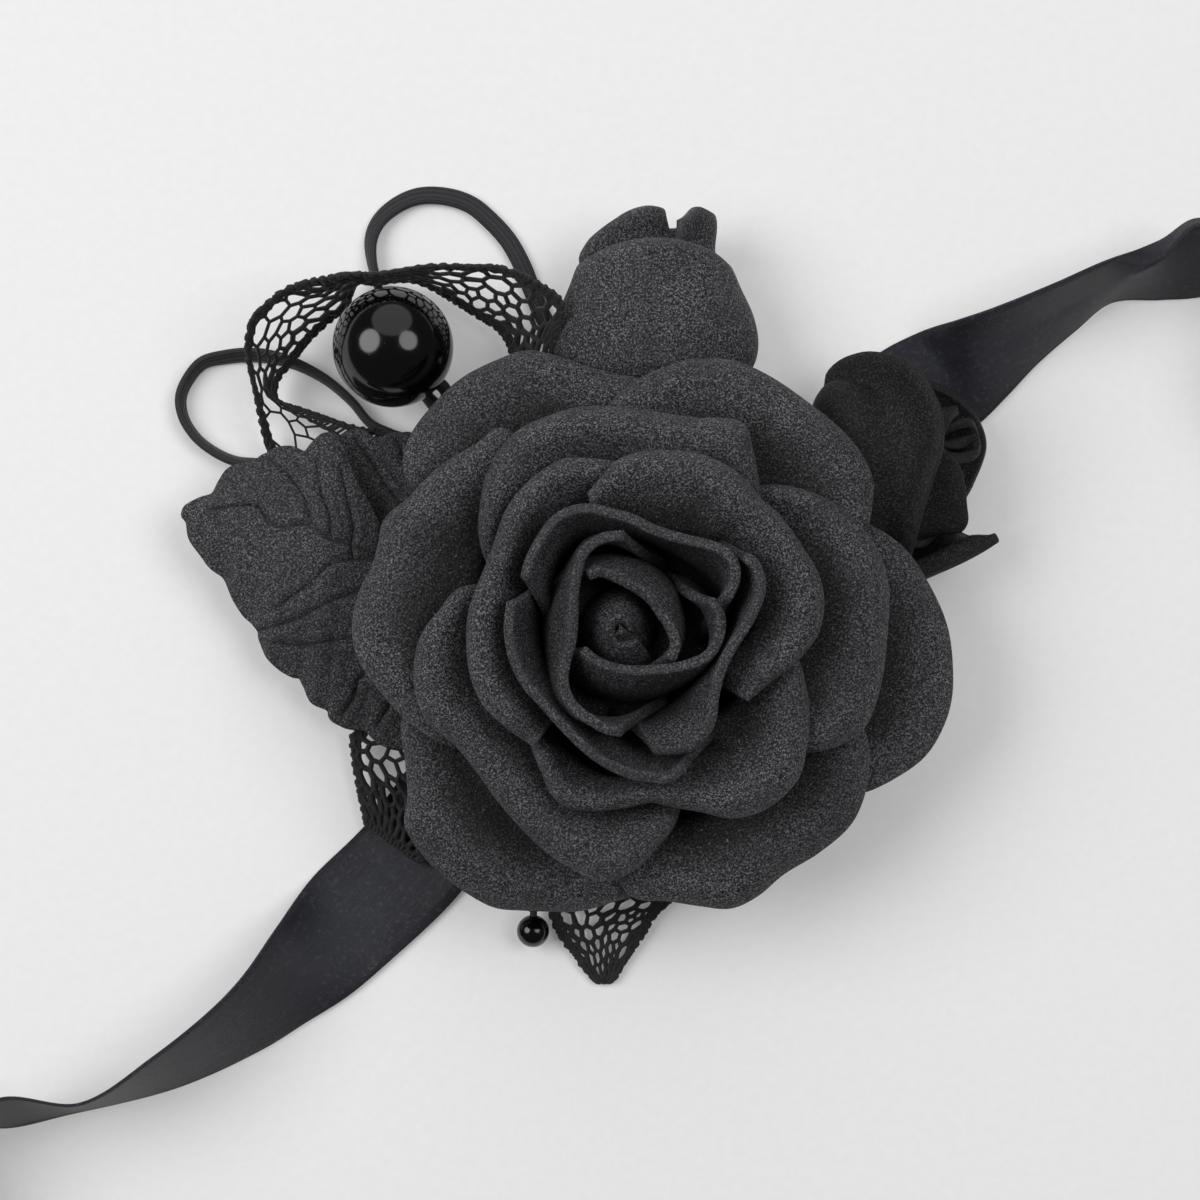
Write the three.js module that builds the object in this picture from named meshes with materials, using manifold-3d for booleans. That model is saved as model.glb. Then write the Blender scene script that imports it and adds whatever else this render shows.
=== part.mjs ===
// A wrist corsage: a foam rose with two buds, two leaves, beads, lace and cord loops on a satin wrist ribbon.
// Millimetres, +Z up. The origin is the middle of the backing pad's underside, below the heart of the rose.
import * as THREE from 'three';
import { mergeVertices } from 'three/addons/utils/BufferGeometryUtils.js';
import Module from 'manifold-3d';

const wasm = await Module();
wasm.setup();

// The outlines are drawn on a square grid, as seen from a point high above the table.
// A high rim is therefore drawn in towards the middle of the grid as it is lifted.
const gridSquare = 10.9;
const eyeHeight = 300;
const eyeRight = -2.2;
const eyeBack = 2.8;

// Clearances.
const seatGap = 0.3;
const boreClearance = 0.15;

// Backing pad, wrist ribbon and base disc, stacked from the table up.
const padRadius = 21;
const padThickness = 1.2;
const ribbonWidth = 12;
const ribbonThickness = 0.5;
const hingeMargin = 1;
const discRadius = 14;
const discThickness = 1.2;

// Rose: foam sheet wrapped in ranks round a core, rank 0 in the middle.
const foamThickness = 1.1;
const foamSpacing = 1.6;
const roseHeight = 28;
const lipDrop = 2;
const coreRadius = 1.5;
const lastRank = 11;
const floorSlope = 0.22;
const bowlCorner = 2.4;
const bottomFloor = 4.4;
const heartRollRadius = 2.5;
const heartRollHeight = 5.6;

// Buds.
const budRadius = 9.6;
const budShoulder = 2.6;
const budHeight = 6.4;
const topBudLength = 20.5;
const topBudRise = 1.6;
const rightBudLength = 19.5;
const rightBudRise = 2.3;
const budStemRadius = 0.8;
const budRollRadius = 2.15;

// Leaves.
const leafThickness = 0.8;
const leafHeight = 5.6;
const leafRise = 3;
const leafStemRadius = 0.7;

// Large bead and its wire.
const beadRadius = 6.4;
const beadHeight = 8.6;
const beadBoreDepth = 5;
const beadWireRadius = 0.7;

// Small beads and their wire.
const smallBeadRadius = 1.75;
const capBeadRadius = 0.9;
const smallWireRadius = 0.4;

// Lace.
const laceThickness = 0.5;
const laceRise = 13;
const laceTuckLength = 2;

// Narrow cord, flat in section.
const cordWidth = 1.6;
const cordThickness = 1.2;
const cordHeight = 0.3;

// Rolled ends of the wrist ribbon.
const rollInnerRadius = 4;
const rollPitch = 1.05;
const rollTurns = 4.5;

const foamBlack = { color: 0x343436, roughness: 0.92, metalness: 0 };
const leafBlack = { color: 0x2e2e30, roughness: 0.88, metalness: 0 };
const satinBlack = { color: 0x242428, roughness: 0.42, metalness: 0 };
const laceBlack = { color: 0x161618, roughness: 0.8, metalness: 0 };
const cordBlack = { color: 0x3a3a3e, roughness: 0.7, metalness: 0 };
const beadBlack = { color: 0x050506, roughness: 0.08, metalness: 0 };
const wireBlack = { color: 0x1a1a1a, roughness: 0.7, metalness: 0 };
const feltBlack = { color: 0x1c1c1e, roughness: 1, metalness: 0 };

const corsage = new THREE.Group();

function addPiece(name, geometry, finish) {
  const mesh = new THREE.Mesh(geometry, new THREE.MeshStandardMaterial(finish));
  mesh.name = name;
  corsage.add(mesh);
  return mesh;
}

// A grid point at a height, in the part's own frame.
function fromGrid(right, back, height) {
  const shrink = 1 - height / eyeHeight;
  return new THREE.Vector3(
    eyeRight + right * gridSquare * shrink,
    eyeBack + back * gridSquare * shrink,
    height,
  );
}

function smoothStep(low, high, value) {
  return THREE.MathUtils.smoothstep(value, low, high);
}

// A closed sheet of even thickness over a grid of points. Cells for which isOpen holds are left out.
function sheetGeometry(grid, thickness, isOpen = () => false) {
  const columns = grid.length;
  const rows = grid[0].length;
  const positions = [];
  const along = new THREE.Vector3();
  const across = new THREE.Vector3();
  for (let i = 0; i < columns; i++) {
    for (let j = 0; j < rows; j++) {
      const before = grid[Math.max(i - 1, 0)][j];
      const after = grid[Math.min(i + 1, columns - 1)][j];
      const below = grid[i][Math.max(j - 1, 0)];
      const above = grid[i][Math.min(j + 1, rows - 1)];
      along.subVectors(after, before);
      across.subVectors(above, below);
      const normal = along.clone().cross(across).setLength(thickness / 2);
      const point = grid[i][j];
      positions.push(point.x + normal.x, point.y + normal.y, point.z + normal.z);
      positions.push(point.x - normal.x, point.y - normal.y, point.z - normal.z);
    }
  }
  const top = (i, j) => 2 * (i * rows + j);
  const bottom = (i, j) => top(i, j) + 1;
  const solidCell = (i, j) =>
    i >= 0 && j >= 0 && i < columns - 1 && j < rows - 1 && !isOpen(i, j);
  const faces = [];
  const quad = (a, b, c, d) => faces.push(a, b, c, a, c, d);
  for (let i = 0; i < columns - 1; i++) {
    for (let j = 0; j < rows - 1; j++) {
      if (!solidCell(i, j)) continue;
      quad(top(i, j), top(i + 1, j), top(i + 1, j + 1), top(i, j + 1));
      quad(bottom(i, j), bottom(i, j + 1), bottom(i + 1, j + 1), bottom(i + 1, j));
      if (!solidCell(i, j - 1)) quad(bottom(i, j), bottom(i + 1, j), top(i + 1, j), top(i, j));
      if (!solidCell(i, j + 1)) {
        quad(top(i, j + 1), top(i + 1, j + 1), bottom(i + 1, j + 1), bottom(i, j + 1));
      }
      if (!solidCell(i - 1, j)) quad(top(i, j), top(i, j + 1), bottom(i, j + 1), bottom(i, j));
      if (!solidCell(i + 1, j)) {
        quad(bottom(i + 1, j), bottom(i + 1, j + 1), top(i + 1, j + 1), top(i + 1, j));
      }
    }
  }
  const geometry = new THREE.BufferGeometry();
  geometry.setAttribute('position', new THREE.Float32BufferAttribute(positions, 3));
  geometry.setIndex(faces);
  geometry.computeVertexNormals();
  return geometry;
}

function sampledCurve(points, count) {
  return new THREE.CatmullRomCurve3(points, false, 'centripetal').getSpacedPoints(count);
}

// Discs and rods along Z.
function rodGeometry(radius, bottom, top, sides) {
  const geometry = new THREE.CylinderGeometry(radius, radius, top - bottom, sides);
  geometry.rotateX(Math.PI / 2);
  geometry.translate(0, 0, (bottom + top) / 2);
  return geometry;
}

// A rod along a route, round or flat, its width level where the route is level.
function rodAlong(points, width, thickness, sides, steps) {
  const corner = 1 / Math.cos(Math.PI / sides);
  const shape = new THREE.Shape();
  for (let k = 0; k < sides; k++) {
    const angle = (2 * Math.PI * (k + 1 / 2)) / sides;
    const above = (thickness / 2) * corner * Math.cos(angle);
    const beside = (width / 2) * corner * Math.sin(angle);
    if (k === 0) shape.moveTo(above, beside);
    else shape.lineTo(above, beside);
  }
  shape.closePath();
  const route = new THREE.CatmullRomCurve3(points, false, 'centripetal');
  return new THREE.ExtrudeGeometry(shape, { steps, bevelEnabled: false, extrudePath: route });
}

// A place given by its bearing in degrees round the rose's axis.
function polar(degrees, reach, height) {
  const bearing = THREE.MathUtils.degToRad(degrees);
  return new THREE.Vector3(reach * Math.cos(bearing), reach * Math.sin(bearing), height);
}

// Rose petals. A rim is a list of grid places, clockwise or not, as shares of a grid square.
const heartPetals = [
  {
    name: 'rose_heart_petal_1', rank: 1, crownShare: 0.982,
    rimShares: [[-0.1, 0.24], [0, 0.27], [0.14, 0.23], [0.33, 0.14], [0.5, 0.02], [0.6, -0.13],
      [0.69, -0.27], [0.75, -0.44], [0.71, -0.58]],
  },
  {
    name: 'rose_heart_petal_2', rank: 2, crownShare: 0.971,
    rimShares: [[-0.16, -0.5], [-0.05, -0.59], [0.14, -0.67], [0.33, -0.7], [0.52, -0.7], [0.71, -0.68],
      [0.9, -0.63], [1.07, -0.54], [1.19, -0.32], [1.19, -0.13], [1.12, -0.01]],
  },
  {
    name: 'rose_heart_petal_3', rank: 3, crownShare: 1.007,
    rimShares: [[0.23, 0.64], [0.04, 0.62], [-0.1, 0.54], [-0.19, 0.42], [-0.22, 0.26], [-0.24, 0.06],
      [-0.25, -0.18], [-0.28, -0.42], [-0.34, -0.63], [-0.36, -0.8], [-0.32, -0.97], [-0.22, -1.11],
      [-0.08, -1.21], [0.04, -1.28], [0.21, -1.32]],
  },
  {
    name: 'rose_heart_petal_4', rank: 4, crownShare: 0.993,
    rimShares: [[-0.75, 0.23], [-0.7, 0.42], [-0.58, 0.64], [-0.44, 0.81], [-0.27, 0.9], [-0.08, 0.92],
      [0.14, 0.87], [0.33, 0.81], [0.52, 0.71], [0.71, 0.64], [0.9, 0.59], [1.1, 0.54], [1.26, 0.46],
      [1.34, 0.33], [1.33, 0.16], [1.27, 0.02]],
  },
  {
    name: 'rose_heart_petal_5', rank: 5, crownShare: 0.975,
    rimShares: [[1.47, 0.42], [1.56, 0.33], [1.6, 0.2], [1.59, 0.05], [1.54, -0.09], [1.47, -0.24],
      [1.34, -0.44], [1.24, -0.61], [1.17, -0.8], [1.13, -0.99], [1.11, -1.18], [1.05, -1.33],
      [0.9, -1.46], [0.74, -1.5], [0.55, -1.5]],
  },
  {
    name: 'rose_heart_petal_6', rank: 6, crownShare: 0.957,
    rimShares: [[-0.88, -0.03], [-0.9, -0.32], [-0.85, -0.61], [-0.73, -0.85], [-0.56, -1.04],
      [-0.44, -1.18], [-0.25, -1.38], [-0.06, -1.54], [0.14, -1.66], [0.33, -1.74], [0.52, -1.78],
      [0.7, -1.78], [0.83, -1.68]],
  },
];

// wallSteps counts foam spacings from the heart to the petal's wall, and the tucks lower an end of the
// petal by one more step, under its neighbour of the same row.
const openPetals = [
  {
    name: 'rose_middle_petal_1', rank: 6, wallSteps: 1, crownShare: 0.907,
    dropShare: 0.9, startTuck: 0, endTuck: 0,
    rimShares: [[-0.1, 1.06], [0.05, 1.21], [0.19, 1.36], [0.42, 1.45], [0.76, 1.47], [1.01, 1.43],
      [1.26, 1.32], [1.45, 1.17], [1.58, 1], [1.81, 0.79], [2.02, 0.5], [2.17, 0.21], [2.21, -0.09],
      [2.15, -0.34], [1.96, -0.59], [1.68, -0.8], [1.47, -0.99]],
  },
  {
    name: 'rose_middle_petal_2', rank: 7, wallSteps: 1, crownShare: 0.886,
    dropShare: 0.7, startTuck: 1, endTuck: 0,
    rimShares: [[0.32, 1.3], [0.13, 1.36], [-0.08, 1.38], [-0.37, 1.38], [-0.58, 1.26], [-0.79, 1.05],
      [-0.92, 0.84], [-1.05, 0.46], [-1.17, 0.16], [-1.26, -0.09], [-1.29, -0.34], [-1.26, -0.72],
      [-1.15, -1.01], [-0.96, -1.22], [-0.8, -1.35], [-0.67, -1.45]],
  },
  {
    name: 'rose_middle_petal_3', rank: 8, wallSteps: 1, crownShare: 0.857,
    dropShare: 0.7, startTuck: 1, endTuck: 1,
    rimShares: [[1.8, -0.3], [1.96, -0.61], [2.04, -0.89], [2.08, -1.18], [2.06, -1.47], [1.98, -1.77],
      [1.77, -1.98], [1.54, -2.1], [1.31, -2.15], [1.05, -2.1], [0.76, -2.04], [0.51, -1.98],
      [0.26, -2.04], [-0.08, -2.1], [-0.33, -2.06], [-0.46, -1.94], [-0.54, -1.73], [-0.63, -1.52],
      [-0.74, -1.3]],
  },
  {
    name: 'rose_wide_petal_1', rank: 8, wallSteps: 3, crownShare: 0.757,
    dropShare: 1, startTuck: 0, endTuck: 0,
    rimShares: [[-1.02, 0.25], [-1.13, 0.5], [-1.17, 0.75], [-1.11, 1.17], [-0.98, 1.47], [-0.79, 1.68],
      [-0.5, 1.82], [-0.21, 1.91], [0.09, 1.92], [0.42, 1.87], [0.89, 1.8], [1.41, 1.74], [1.47, 1.55],
      [1.54, 1.21], [1.58, 1], [1.62, 0.8]],
  },
  {
    name: 'rose_wide_petal_2', rank: 9, wallSteps: 3, crownShare: 0.721,
    dropShare: 0.6, startTuck: 0, endTuck: 0,
    rimShares: [[-1.1, 0.2], [-1.22, 0.13], [-1.42, 0.08], [-1.59, -0.13], [-1.76, -0.38],
      [-1.82, -0.68], [-1.8, -0.97], [-1.68, -1.22], [-1.42, -1.43], [-1.21, -1.68], [-1, -1.98],
      [-0.75, -2.27], [-0.5, -2.52], [-0.25, -2.67], [0, -2.78], [0.3, -2.69], [0.51, -2.48],
      [0.68, -2.27], [0.78, -2.05], [0.86, -1.85]],
  },
  {
    name: 'rose_wide_petal_3', rank: 9, wallSteps: 3, crownShare: 0.721,
    dropShare: 1, startTuck: 0.85, endTuck: 0.15,
    rimShares: [[1.45, 1.05], [1.6, 1.11], [1.85, 1.12], [2.15, 1.05], [2.44, 0.88], [2.65, 0.67],
      [2.82, 0.37], [2.88, 0.08], [2.86, -0.34], [2.82, -0.72], [2.73, -1.05], [2.61, -1.28],
      [2.36, -1.43], [2.06, -1.49], [1.85, -1.45]],
  },
  {
    name: 'rose_wide_petal_4', rank: 10, wallSteps: 4, crownShare: 0.621,
    dropShare: 0.8, startTuck: 0, endTuck: 0,
    rimShares: [[-0.75, 1.5], [-1, 1.7], [-1.21, 1.55], [-1.59, 1.3], [-1.89, 1], [-2.14, 0.79],
      [-2.2, 0.54], [-2.26, 0.33], [-2.39, 0.04], [-2.45, -0.26], [-2.41, -0.51], [-2.22, -0.84],
      [-1.97, -1.12], [-1.72, -1.31], [-1.47, -1.43], [-1.32, -1.42]],
  },
  {
    name: 'rose_outer_petal_1', rank: 10, wallSteps: 5, crownShare: 0.579,
    dropShare: 0.9, startTuck: 0, endTuck: 0,
    rimShares: [[0.05, 1.72], [0.13, 1.95], [0.4, 2.19], [0.72, 2.33], [1.01, 2.39], [1.31, 2.38],
      [1.54, 2.29], [2, 2.01], [2.36, 1.72], [2.61, 1.42], [2.71, 1.17], [2.7, 0.96], [2.65, 0.75],
      [2.45, 0.55]],
  },
  {
    name: 'rose_outer_petal_2', rank: 10, wallSteps: 5, crownShare: 0.571,
    dropShare: 0.9, startTuck: 0, endTuck: 0,
    rimShares: [[2.45, -1.15], [2.61, -1.31], [2.67, -1.56], [2.65, -1.85], [2.5, -2.21], [2.19, -2.5],
      [1.81, -2.73], [1.54, -2.96], [1.31, -3.06], [1.01, -3.03], [0.72, -2.99], [0.34, -2.94],
      [0.18, -2.7]],
  },
  {
    name: 'rose_outer_petal_3', rank: 11, wallSteps: 6, crownShare: 0.493,
    dropShare: 0.8, startTuck: 0, endTuck: 0,
    rimShares: [[-1.75, 0.95], [-1.93, 1.34], [-1.87, 1.63], [-1.63, 1.97], [-1.34, 2.22], [-1, 2.39],
      [-0.75, 2.47], [-0.5, 2.43], [-0.21, 2.33], [0.13, 2.24], [0.4, 2.19], [0.62, 2.12]],
  },
  {
    name: 'rose_outer_petal_4', rank: 11, wallSteps: 6, crownShare: 0.479,
    dropShare: 0.75, startTuck: 0, endTuck: 0,
    rimShares: [[2.5, 0.82], [2.86, 0.63], [3.07, 0.46], [3.28, 0.12], [3.45, -0.26], [3.51, -0.59],
      [3.5, -0.97], [3.41, -1.26], [3.24, -1.54], [2.99, -1.73], [2.65, -1.89], [2.38, -1.9]],
  },
  {
    name: 'rose_outer_petal_5', rank: 11, wallSteps: 6, crownShare: 0.493,
    dropShare: 0.9, startTuck: 0, endTuck: 0,
    rimShares: [[-1.72, -1.13], [-1.94, -1.18], [-1.91, -1.6], [-1.89, -1.98], [-1.92, -2.25],
      [-1.82, -2.44], [-1.63, -2.67], [-1.34, -2.9], [-1.05, -3.05], [-0.79, -3.08], [-0.5, -3.09],
      [-0.21, -3.07], [0.09, -2.99], [0.34, -2.92], [0.55, -2.75]],
  },
];

// The rim as bearings and distances from the rose's axis.
function rimStations(petal, count) {
  const points = petal.rimShares.map(([right, back]) => fromGrid(right, back, petal.crownShare * roseHeight));
  const stations = sampledCurve(points, count).map((point) => ({
    bearing: Math.atan2(point.y, point.x),
    reach: Math.hypot(point.x, point.y),
  }));
  for (let i = 1; i < stations.length; i++) {
    const step = stations[i].bearing - stations[i - 1].bearing;
    stations[i].bearing -= 2 * Math.PI * Math.round(step / (2 * Math.PI));
  }
  return stations;
}

// The outermost heart rim on each bearing, smoothed, which the walls of the open petals follow.
const hullSamples = 72;
const hullSpread = 3;
const rimSamples = 60;
const heartHull = (() => {
  const raw = new Array(hullSamples).fill(0);
  for (const petal of heartPetals) {
    for (const { bearing, reach } of rimStations(petal, rimSamples)) {
      const turn = bearing / (2 * Math.PI);
      const slot = Math.floor((turn - Math.floor(turn)) * hullSamples);
      raw[slot] = Math.max(raw[slot], reach);
    }
  }
  const filled = raw.map((reach, slot) => {
    if (reach > 0) return reach;
    let reachOut = 1;
    while (raw[(slot + reachOut) % hullSamples] === 0) reachOut++;
    return raw[(slot + reachOut) % hullSamples];
  });
  return filled.map((_, slot) => {
    let sum = 0;
    let top = 0;
    for (let k = -hullSpread; k <= hullSpread; k++) {
      const reach = filled[(slot + k + hullSamples) % hullSamples];
      sum += reach;
      top = Math.max(top, reach);
    }
    return Math.max(sum / (2 * hullSpread + 1), top - foamSpacing / 4);
  });
})();

function hullReach(bearing) {
  const turn = bearing / (2 * Math.PI);
  const place = (turn - Math.floor(turn)) * hullSamples - 1 / 2;
  const low = Math.floor(place);
  const share = place - low;
  const first = heartHull[(low + hullSamples) % hullSamples];
  const second = heartHull[(low + 1 + hullSamples) % hullSamples];
  return first * (1 - share) + second * share;
}

function floorHeight(rank) {
  return bottomFloor + (lastRank - rank) * foamSpacing;
}

// The section of a petal on one bearing: floor from the core, wall, and lip or plain rim.
const lipShares = [[0.08, 0.6], [0.36, 0.92], [0.68, 1]];
function petalSection(rank, wall, rim, crown, drop, rows) {
  const start = coreRadius + seatGap;
  const floor = floorHeight(rank);
  const corner = Math.min(bowlCorner, (wall - start) / 2);
  const floorEnd = wall - corner;
  const wallFoot = floor + floorSlope * (wall - start) + corner;
  const points = [
    [start, floor],
    [(start + floorEnd) / 2, floor + (floorSlope * (floorEnd - start)) / 2],
    [floorEnd, floor + floorSlope * (floorEnd - start)],
    [wall, wallFoot],
  ];
  if (drop === 0) {
    points.push([(wall + rim) / 2, (wallFoot + crown) / 2]);
  } else {
    for (const [outShare, upShare] of lipShares) {
      points.push([wall + outShare * (rim - wall), wallFoot + upShare * (crown - wallFoot)]);
    }
  }
  points.push([rim, crown - drop]);
  return sampledCurve(points.map(([r, z]) => new THREE.Vector3(r, 0, z)), rows);
}

// How far an end of a petal is tucked in under its neighbour, 0 to 1 and more.
function tuckAt(piece, along, lowShare, highShare) {
  return piece.startTuck * (1 - smoothStep(lowShare, highShare, along)) +
    piece.endTuck * (1 - smoothStep(lowShare, highShare, 1 - along));
}

const tuckDropShare = 1.2;
const roundingShare = 0.6;
function petalGrid(petal, columns, rows) {
  const rimCrown = petal.crownShare * roseHeight;
  return rimStations(petal, columns).map(({ bearing, reach }, i) => {
    let section;
    if (petal.wallSteps) {
      const along = i / columns;
      const tuck = tuckAt(petal, along, 0.2, 0.45);
      const wall = hullReach(bearing) + (petal.wallSteps + tuck) * foamSpacing;
      const rim = Math.max(reach, wall + seatGap);
      const rounding = Math.sin(Math.PI * Math.min(Math.max(along, 0.01), 0.99)) ** roundingShare;
      const drop = petal.dropShare * lipDrop * rounding;
      const crown = rimCrown - tuck * foamSpacing * tuckDropShare;
      section = petalSection(petal.rank, wall, rim, crown, drop, rows);
    } else {
      section = petalSection(petal.rank, reach, reach, rimCrown, 0, rows);
    }
    return section.map(
      ({ x, z }) => new THREE.Vector3(x * Math.cos(bearing), x * Math.sin(bearing), z),
    );
  });
}

const petalColumns = 9;
const petalRows = 5;
for (const petal of [...heartPetals, ...openPetals]) {
  addPiece(petal.name, sheetGeometry(petalGrid(petal, petalColumns, petalRows), foamThickness), foamBlack);
}

// The rolled bud in the heart of the rose, an oval spiral standing on the core.
const heartRollTurns = 1.25;
const heartRollStretchShare = 1.12;
const heartRollLeanShare = 0.12;
const heartRollSteps = 20;
const coreTop = floorHeight(1) + foamThickness;
const heartRollGrid = [];
for (let i = 0; i <= heartRollSteps; i++) {
  const turned = (i / heartRollSteps) * heartRollTurns;
  const reach = heartRollRadius - turned * foamSpacing;
  const bearing = -2 * Math.PI * turned - Math.PI / 4;
  heartRollGrid.push([0, 1 / 2, 1].map((share) => {
    const lean = 1 - heartRollLeanShare * share;
    return new THREE.Vector3(
      reach * lean * Math.cos(bearing),
      reach * lean * heartRollStretchShare * Math.sin(bearing),
      coreTop + seatGap + heartRollHeight * share,
    );
  }));
}
addPiece('rose_heart_roll', sheetGeometry(heartRollGrid, foamThickness), foamBlack);

// What the rose stands on.
const ribbonMiddle = padThickness + seatGap + ribbonThickness / 2;
const baseBottom = padThickness + ribbonThickness + 2 * seatGap;
const baseTop = baseBottom + discThickness;
addPiece('backing_pad', rodGeometry(padRadius, 0, padThickness, 48), feltBlack);
addPiece('rose_base_disc', rodGeometry(discRadius, baseBottom, baseTop, 36), foamBlack);
addPiece('rose_core', rodGeometry(coreRadius, baseTop + seatGap, coreTop, 16), foamBlack);

// Wrist ribbon: a middle band under the rose, and a tail with a rolled end on each side.
const hingeReach = padRadius + hingeMargin;
const leftBearing = THREE.MathUtils.degToRad(225.5);
const rightBearing = THREE.MathUtils.degToRad(33);
const bandSteps = 12;
const bandGrid = [];
for (let i = 0; i <= bandSteps; i++) {
  const share = i / bandSteps;
  const leftWay = new THREE.Vector2(Math.cos(leftBearing), Math.sin(leftBearing));
  const rightWay = new THREE.Vector2(Math.cos(rightBearing), Math.sin(rightBearing));
  const point = new THREE.Vector2()
    .addScaledVector(leftWay, (hingeReach - seatGap) * (1 - share) ** 2)
    .addScaledVector(rightWay, (hingeReach - seatGap) * share ** 2);
  const heading = new THREE.Vector2()
    .addScaledVector(leftWay, share - 1)
    .addScaledVector(rightWay, share)
    .normalize();
  bandGrid.push([-1, 0, 1].map((side) => new THREE.Vector3(
    point.x - (side * ribbonWidth * heading.y) / 2,
    point.y + (side * ribbonWidth * heading.x) / 2,
    ribbonMiddle,
  )));
}
addPiece('ribbon_middle_band', sheetGeometry(bandGrid, ribbonThickness), satinBlack);

// Ribbon tails. Each place is right, back and up: shares of a grid square, and of the ribbon's width.
const leftUpperShares = [[-2.34, -2.25, 0.04], [-2.88, -2.79, 0.04], [-3.23, -3.28, 0.45],
  [-3.57, -3.77, 0.72], [-3.86, -4.08, 0.83], [-4.46, -4.57, 0.95], [-5.2, -5.04, 1.02],
  [-6, -4.99, 1.03]];
const leftLowerShares = [[-1.4, -2.92, 0.04], [-2.1, -3.6, 0.04], [-2.52, -3.95, 0.04],
  [-2.95, -4.22, 0.04], [-3.37, -4.48, 0.04], [-4.21, -4.86, 0.03], [-5.29, -5.13, 0.03],
  [-6, -5.27, 0.03]];
const rightUpperShares = [[2.72, 2.41, 0.04], [3.17, 2.66, 0.06], [3.6, 2.8, 0.6],
  [3.93, 2.91, 0.78], [4.55, 3.16, 0.88], [5.02, 3.37, 0.93], [5.6, 3.59, 0.8], [6, 3.81, 0.68]];
const rightMiddleShares = [[3, 1.93, 0.04], [3.46, 2.2, 0.04], [3.83, 2.42, 0.32],
  [4.15, 2.63, 0.4], [4.65, 2.93, 0.45], [5.08, 3.16, 0.5], [5.6, 3.4, 0.72], [6, 3.75, 0.75]];
const rightLowerShares = [[3.27, 1.46, 0.04], [3.75, 1.74, 0.04], [4.05, 2.03, 0.04],
  [4.36, 2.36, 0.03], [4.75, 2.7, 0.03], [5.11, 2.98, 0.03], [5.6, 3.01, 0.04], [6, 3.04, 0.04]];
const leftRollShares = [-7.18, -5.945];
const rightRollShares = [7.31, 2.4];
const standShares = [0.025, 0.525, 1.025];

const tailSteps = 18;
const rollOuterRadius = rollInnerRadius + rollTurns * rollPitch;
function tailLine(shares, bearing, side, roll, turn) {
  const half = (side * ribbonWidth) / 2;
  const across = new THREE.Vector2(-half * Math.sin(bearing), half * Math.cos(bearing));
  const root = (reach, height) => new THREE.Vector3(
    reach * Math.cos(bearing) + across.x,
    reach * Math.sin(bearing) + across.y,
    height,
  );
  const laidHeight = shares[0][2] * ribbonWidth;
  const bend = ribbonThickness * 4;
  const points = [root(hingeReach, ribbonMiddle), root(hingeReach + bend, (ribbonMiddle + laidHeight) / 2)];
  for (const [right, back, up] of shares) points.push(fromGrid(right, back, up * ribbonWidth));
  const standing = standShares[1 - side * turn] * ribbonWidth;
  points.push(new THREE.Vector3(roll.x + turn * rollOuterRadius, roll.y + rollOuterRadius, standing));
  points.push(new THREE.Vector3(roll.x + turn * seatGap, roll.y + rollOuterRadius, standing));
  const line = sampledCurve(points, tailSteps);
  for (const point of line) point.z = Math.max(point.z, (ribbonThickness + seatGap) / 2);
  return line;
}

function crossGrid(lines) {
  return lines[0].map((_, i) => lines.map((line) => line[i]));
}

// The rolled ends stand on edge. The loops keep a clear gap, measured here between their points.
const rollSteps = 24;
function rollGrid(roll, turn) {
  const grid = [];
  for (let i = 0; i <= rollTurns * rollSteps; i++) {
    const turned = i / rollSteps;
    const reach = rollOuterRadius - turned * rollPitch;
    const bearing = Math.PI / 2 + turn * 2 * Math.PI * turned;
    const x = roll.x + reach * Math.cos(bearing);
    const y = roll.y + reach * Math.sin(bearing);
    grid.push([new THREE.Vector3(x, y, 0), new THREE.Vector3(x, y, ribbonWidth)]);
  }
  return grid;
}

function leastRollGap(grid) {
  let least = Infinity;
  for (let i = 0; i < grid.length; i++) {
    for (let k = i + rollSteps / 2; k + 1 < grid.length; k++) {
      const near = new THREE.Vector3();
      new THREE.Line3(grid[k][0], grid[k + 1][0]).closestPointToPoint(grid[i][0], true, near);
      least = Math.min(least, near.distanceTo(grid[i][0]) - ribbonThickness);
    }
  }
  return least;
}

const sides = [
  { name: 'left', turn: 1, bearing: leftBearing, rollShares: leftRollShares,
    lines: [[leftUpperShares, -1], [leftLowerShares, 1]] },
  { name: 'right', turn: -1, bearing: rightBearing, rollShares: rightRollShares,
    lines: [[rightUpperShares, 1], [rightMiddleShares, 0], [rightLowerShares, -1]] },
];
for (const { name, turn, bearing, rollShares, lines } of sides) {
  const roll = fromGrid(rollShares[0], rollShares[1], 0);
  const edges = lines.map(([shares, side]) => tailLine(shares, bearing, side, roll, turn));
  addPiece(`ribbon_tail_${name}`, sheetGeometry(crossGrid(edges), ribbonThickness), satinBlack);
  const wound = rollGrid(roll, turn);
  addPiece(`ribbon_roll_${name}`, sheetGeometry(wound, ribbonThickness), satinBlack);
  console.log(`ribbon_roll_${name}: least gap between loops ${leastRollGap(wound).toFixed(2)} mm`);
}

// Buds. Each shell wraps round the bud's axis: bearings in degrees, 90 uppermost, and rim heights as
// shares of the bud's length. Layers count inwards from the outer wall, one foam spacing each.
function budFrame(base, towards) {
  const axis = towards.clone().sub(base).normalize();
  const up = new THREE.Vector3(0, 0, 1).addScaledVector(axis, -axis.z).normalize();
  const side = up.clone().cross(axis);
  return { base, axis, up, side };
}

function budPoint(frame, height, across, above) {
  return frame.base.clone()
    .addScaledVector(frame.axis, height)
    .addScaledVector(frame.side, across)
    .addScaledVector(frame.up, above);
}

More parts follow.
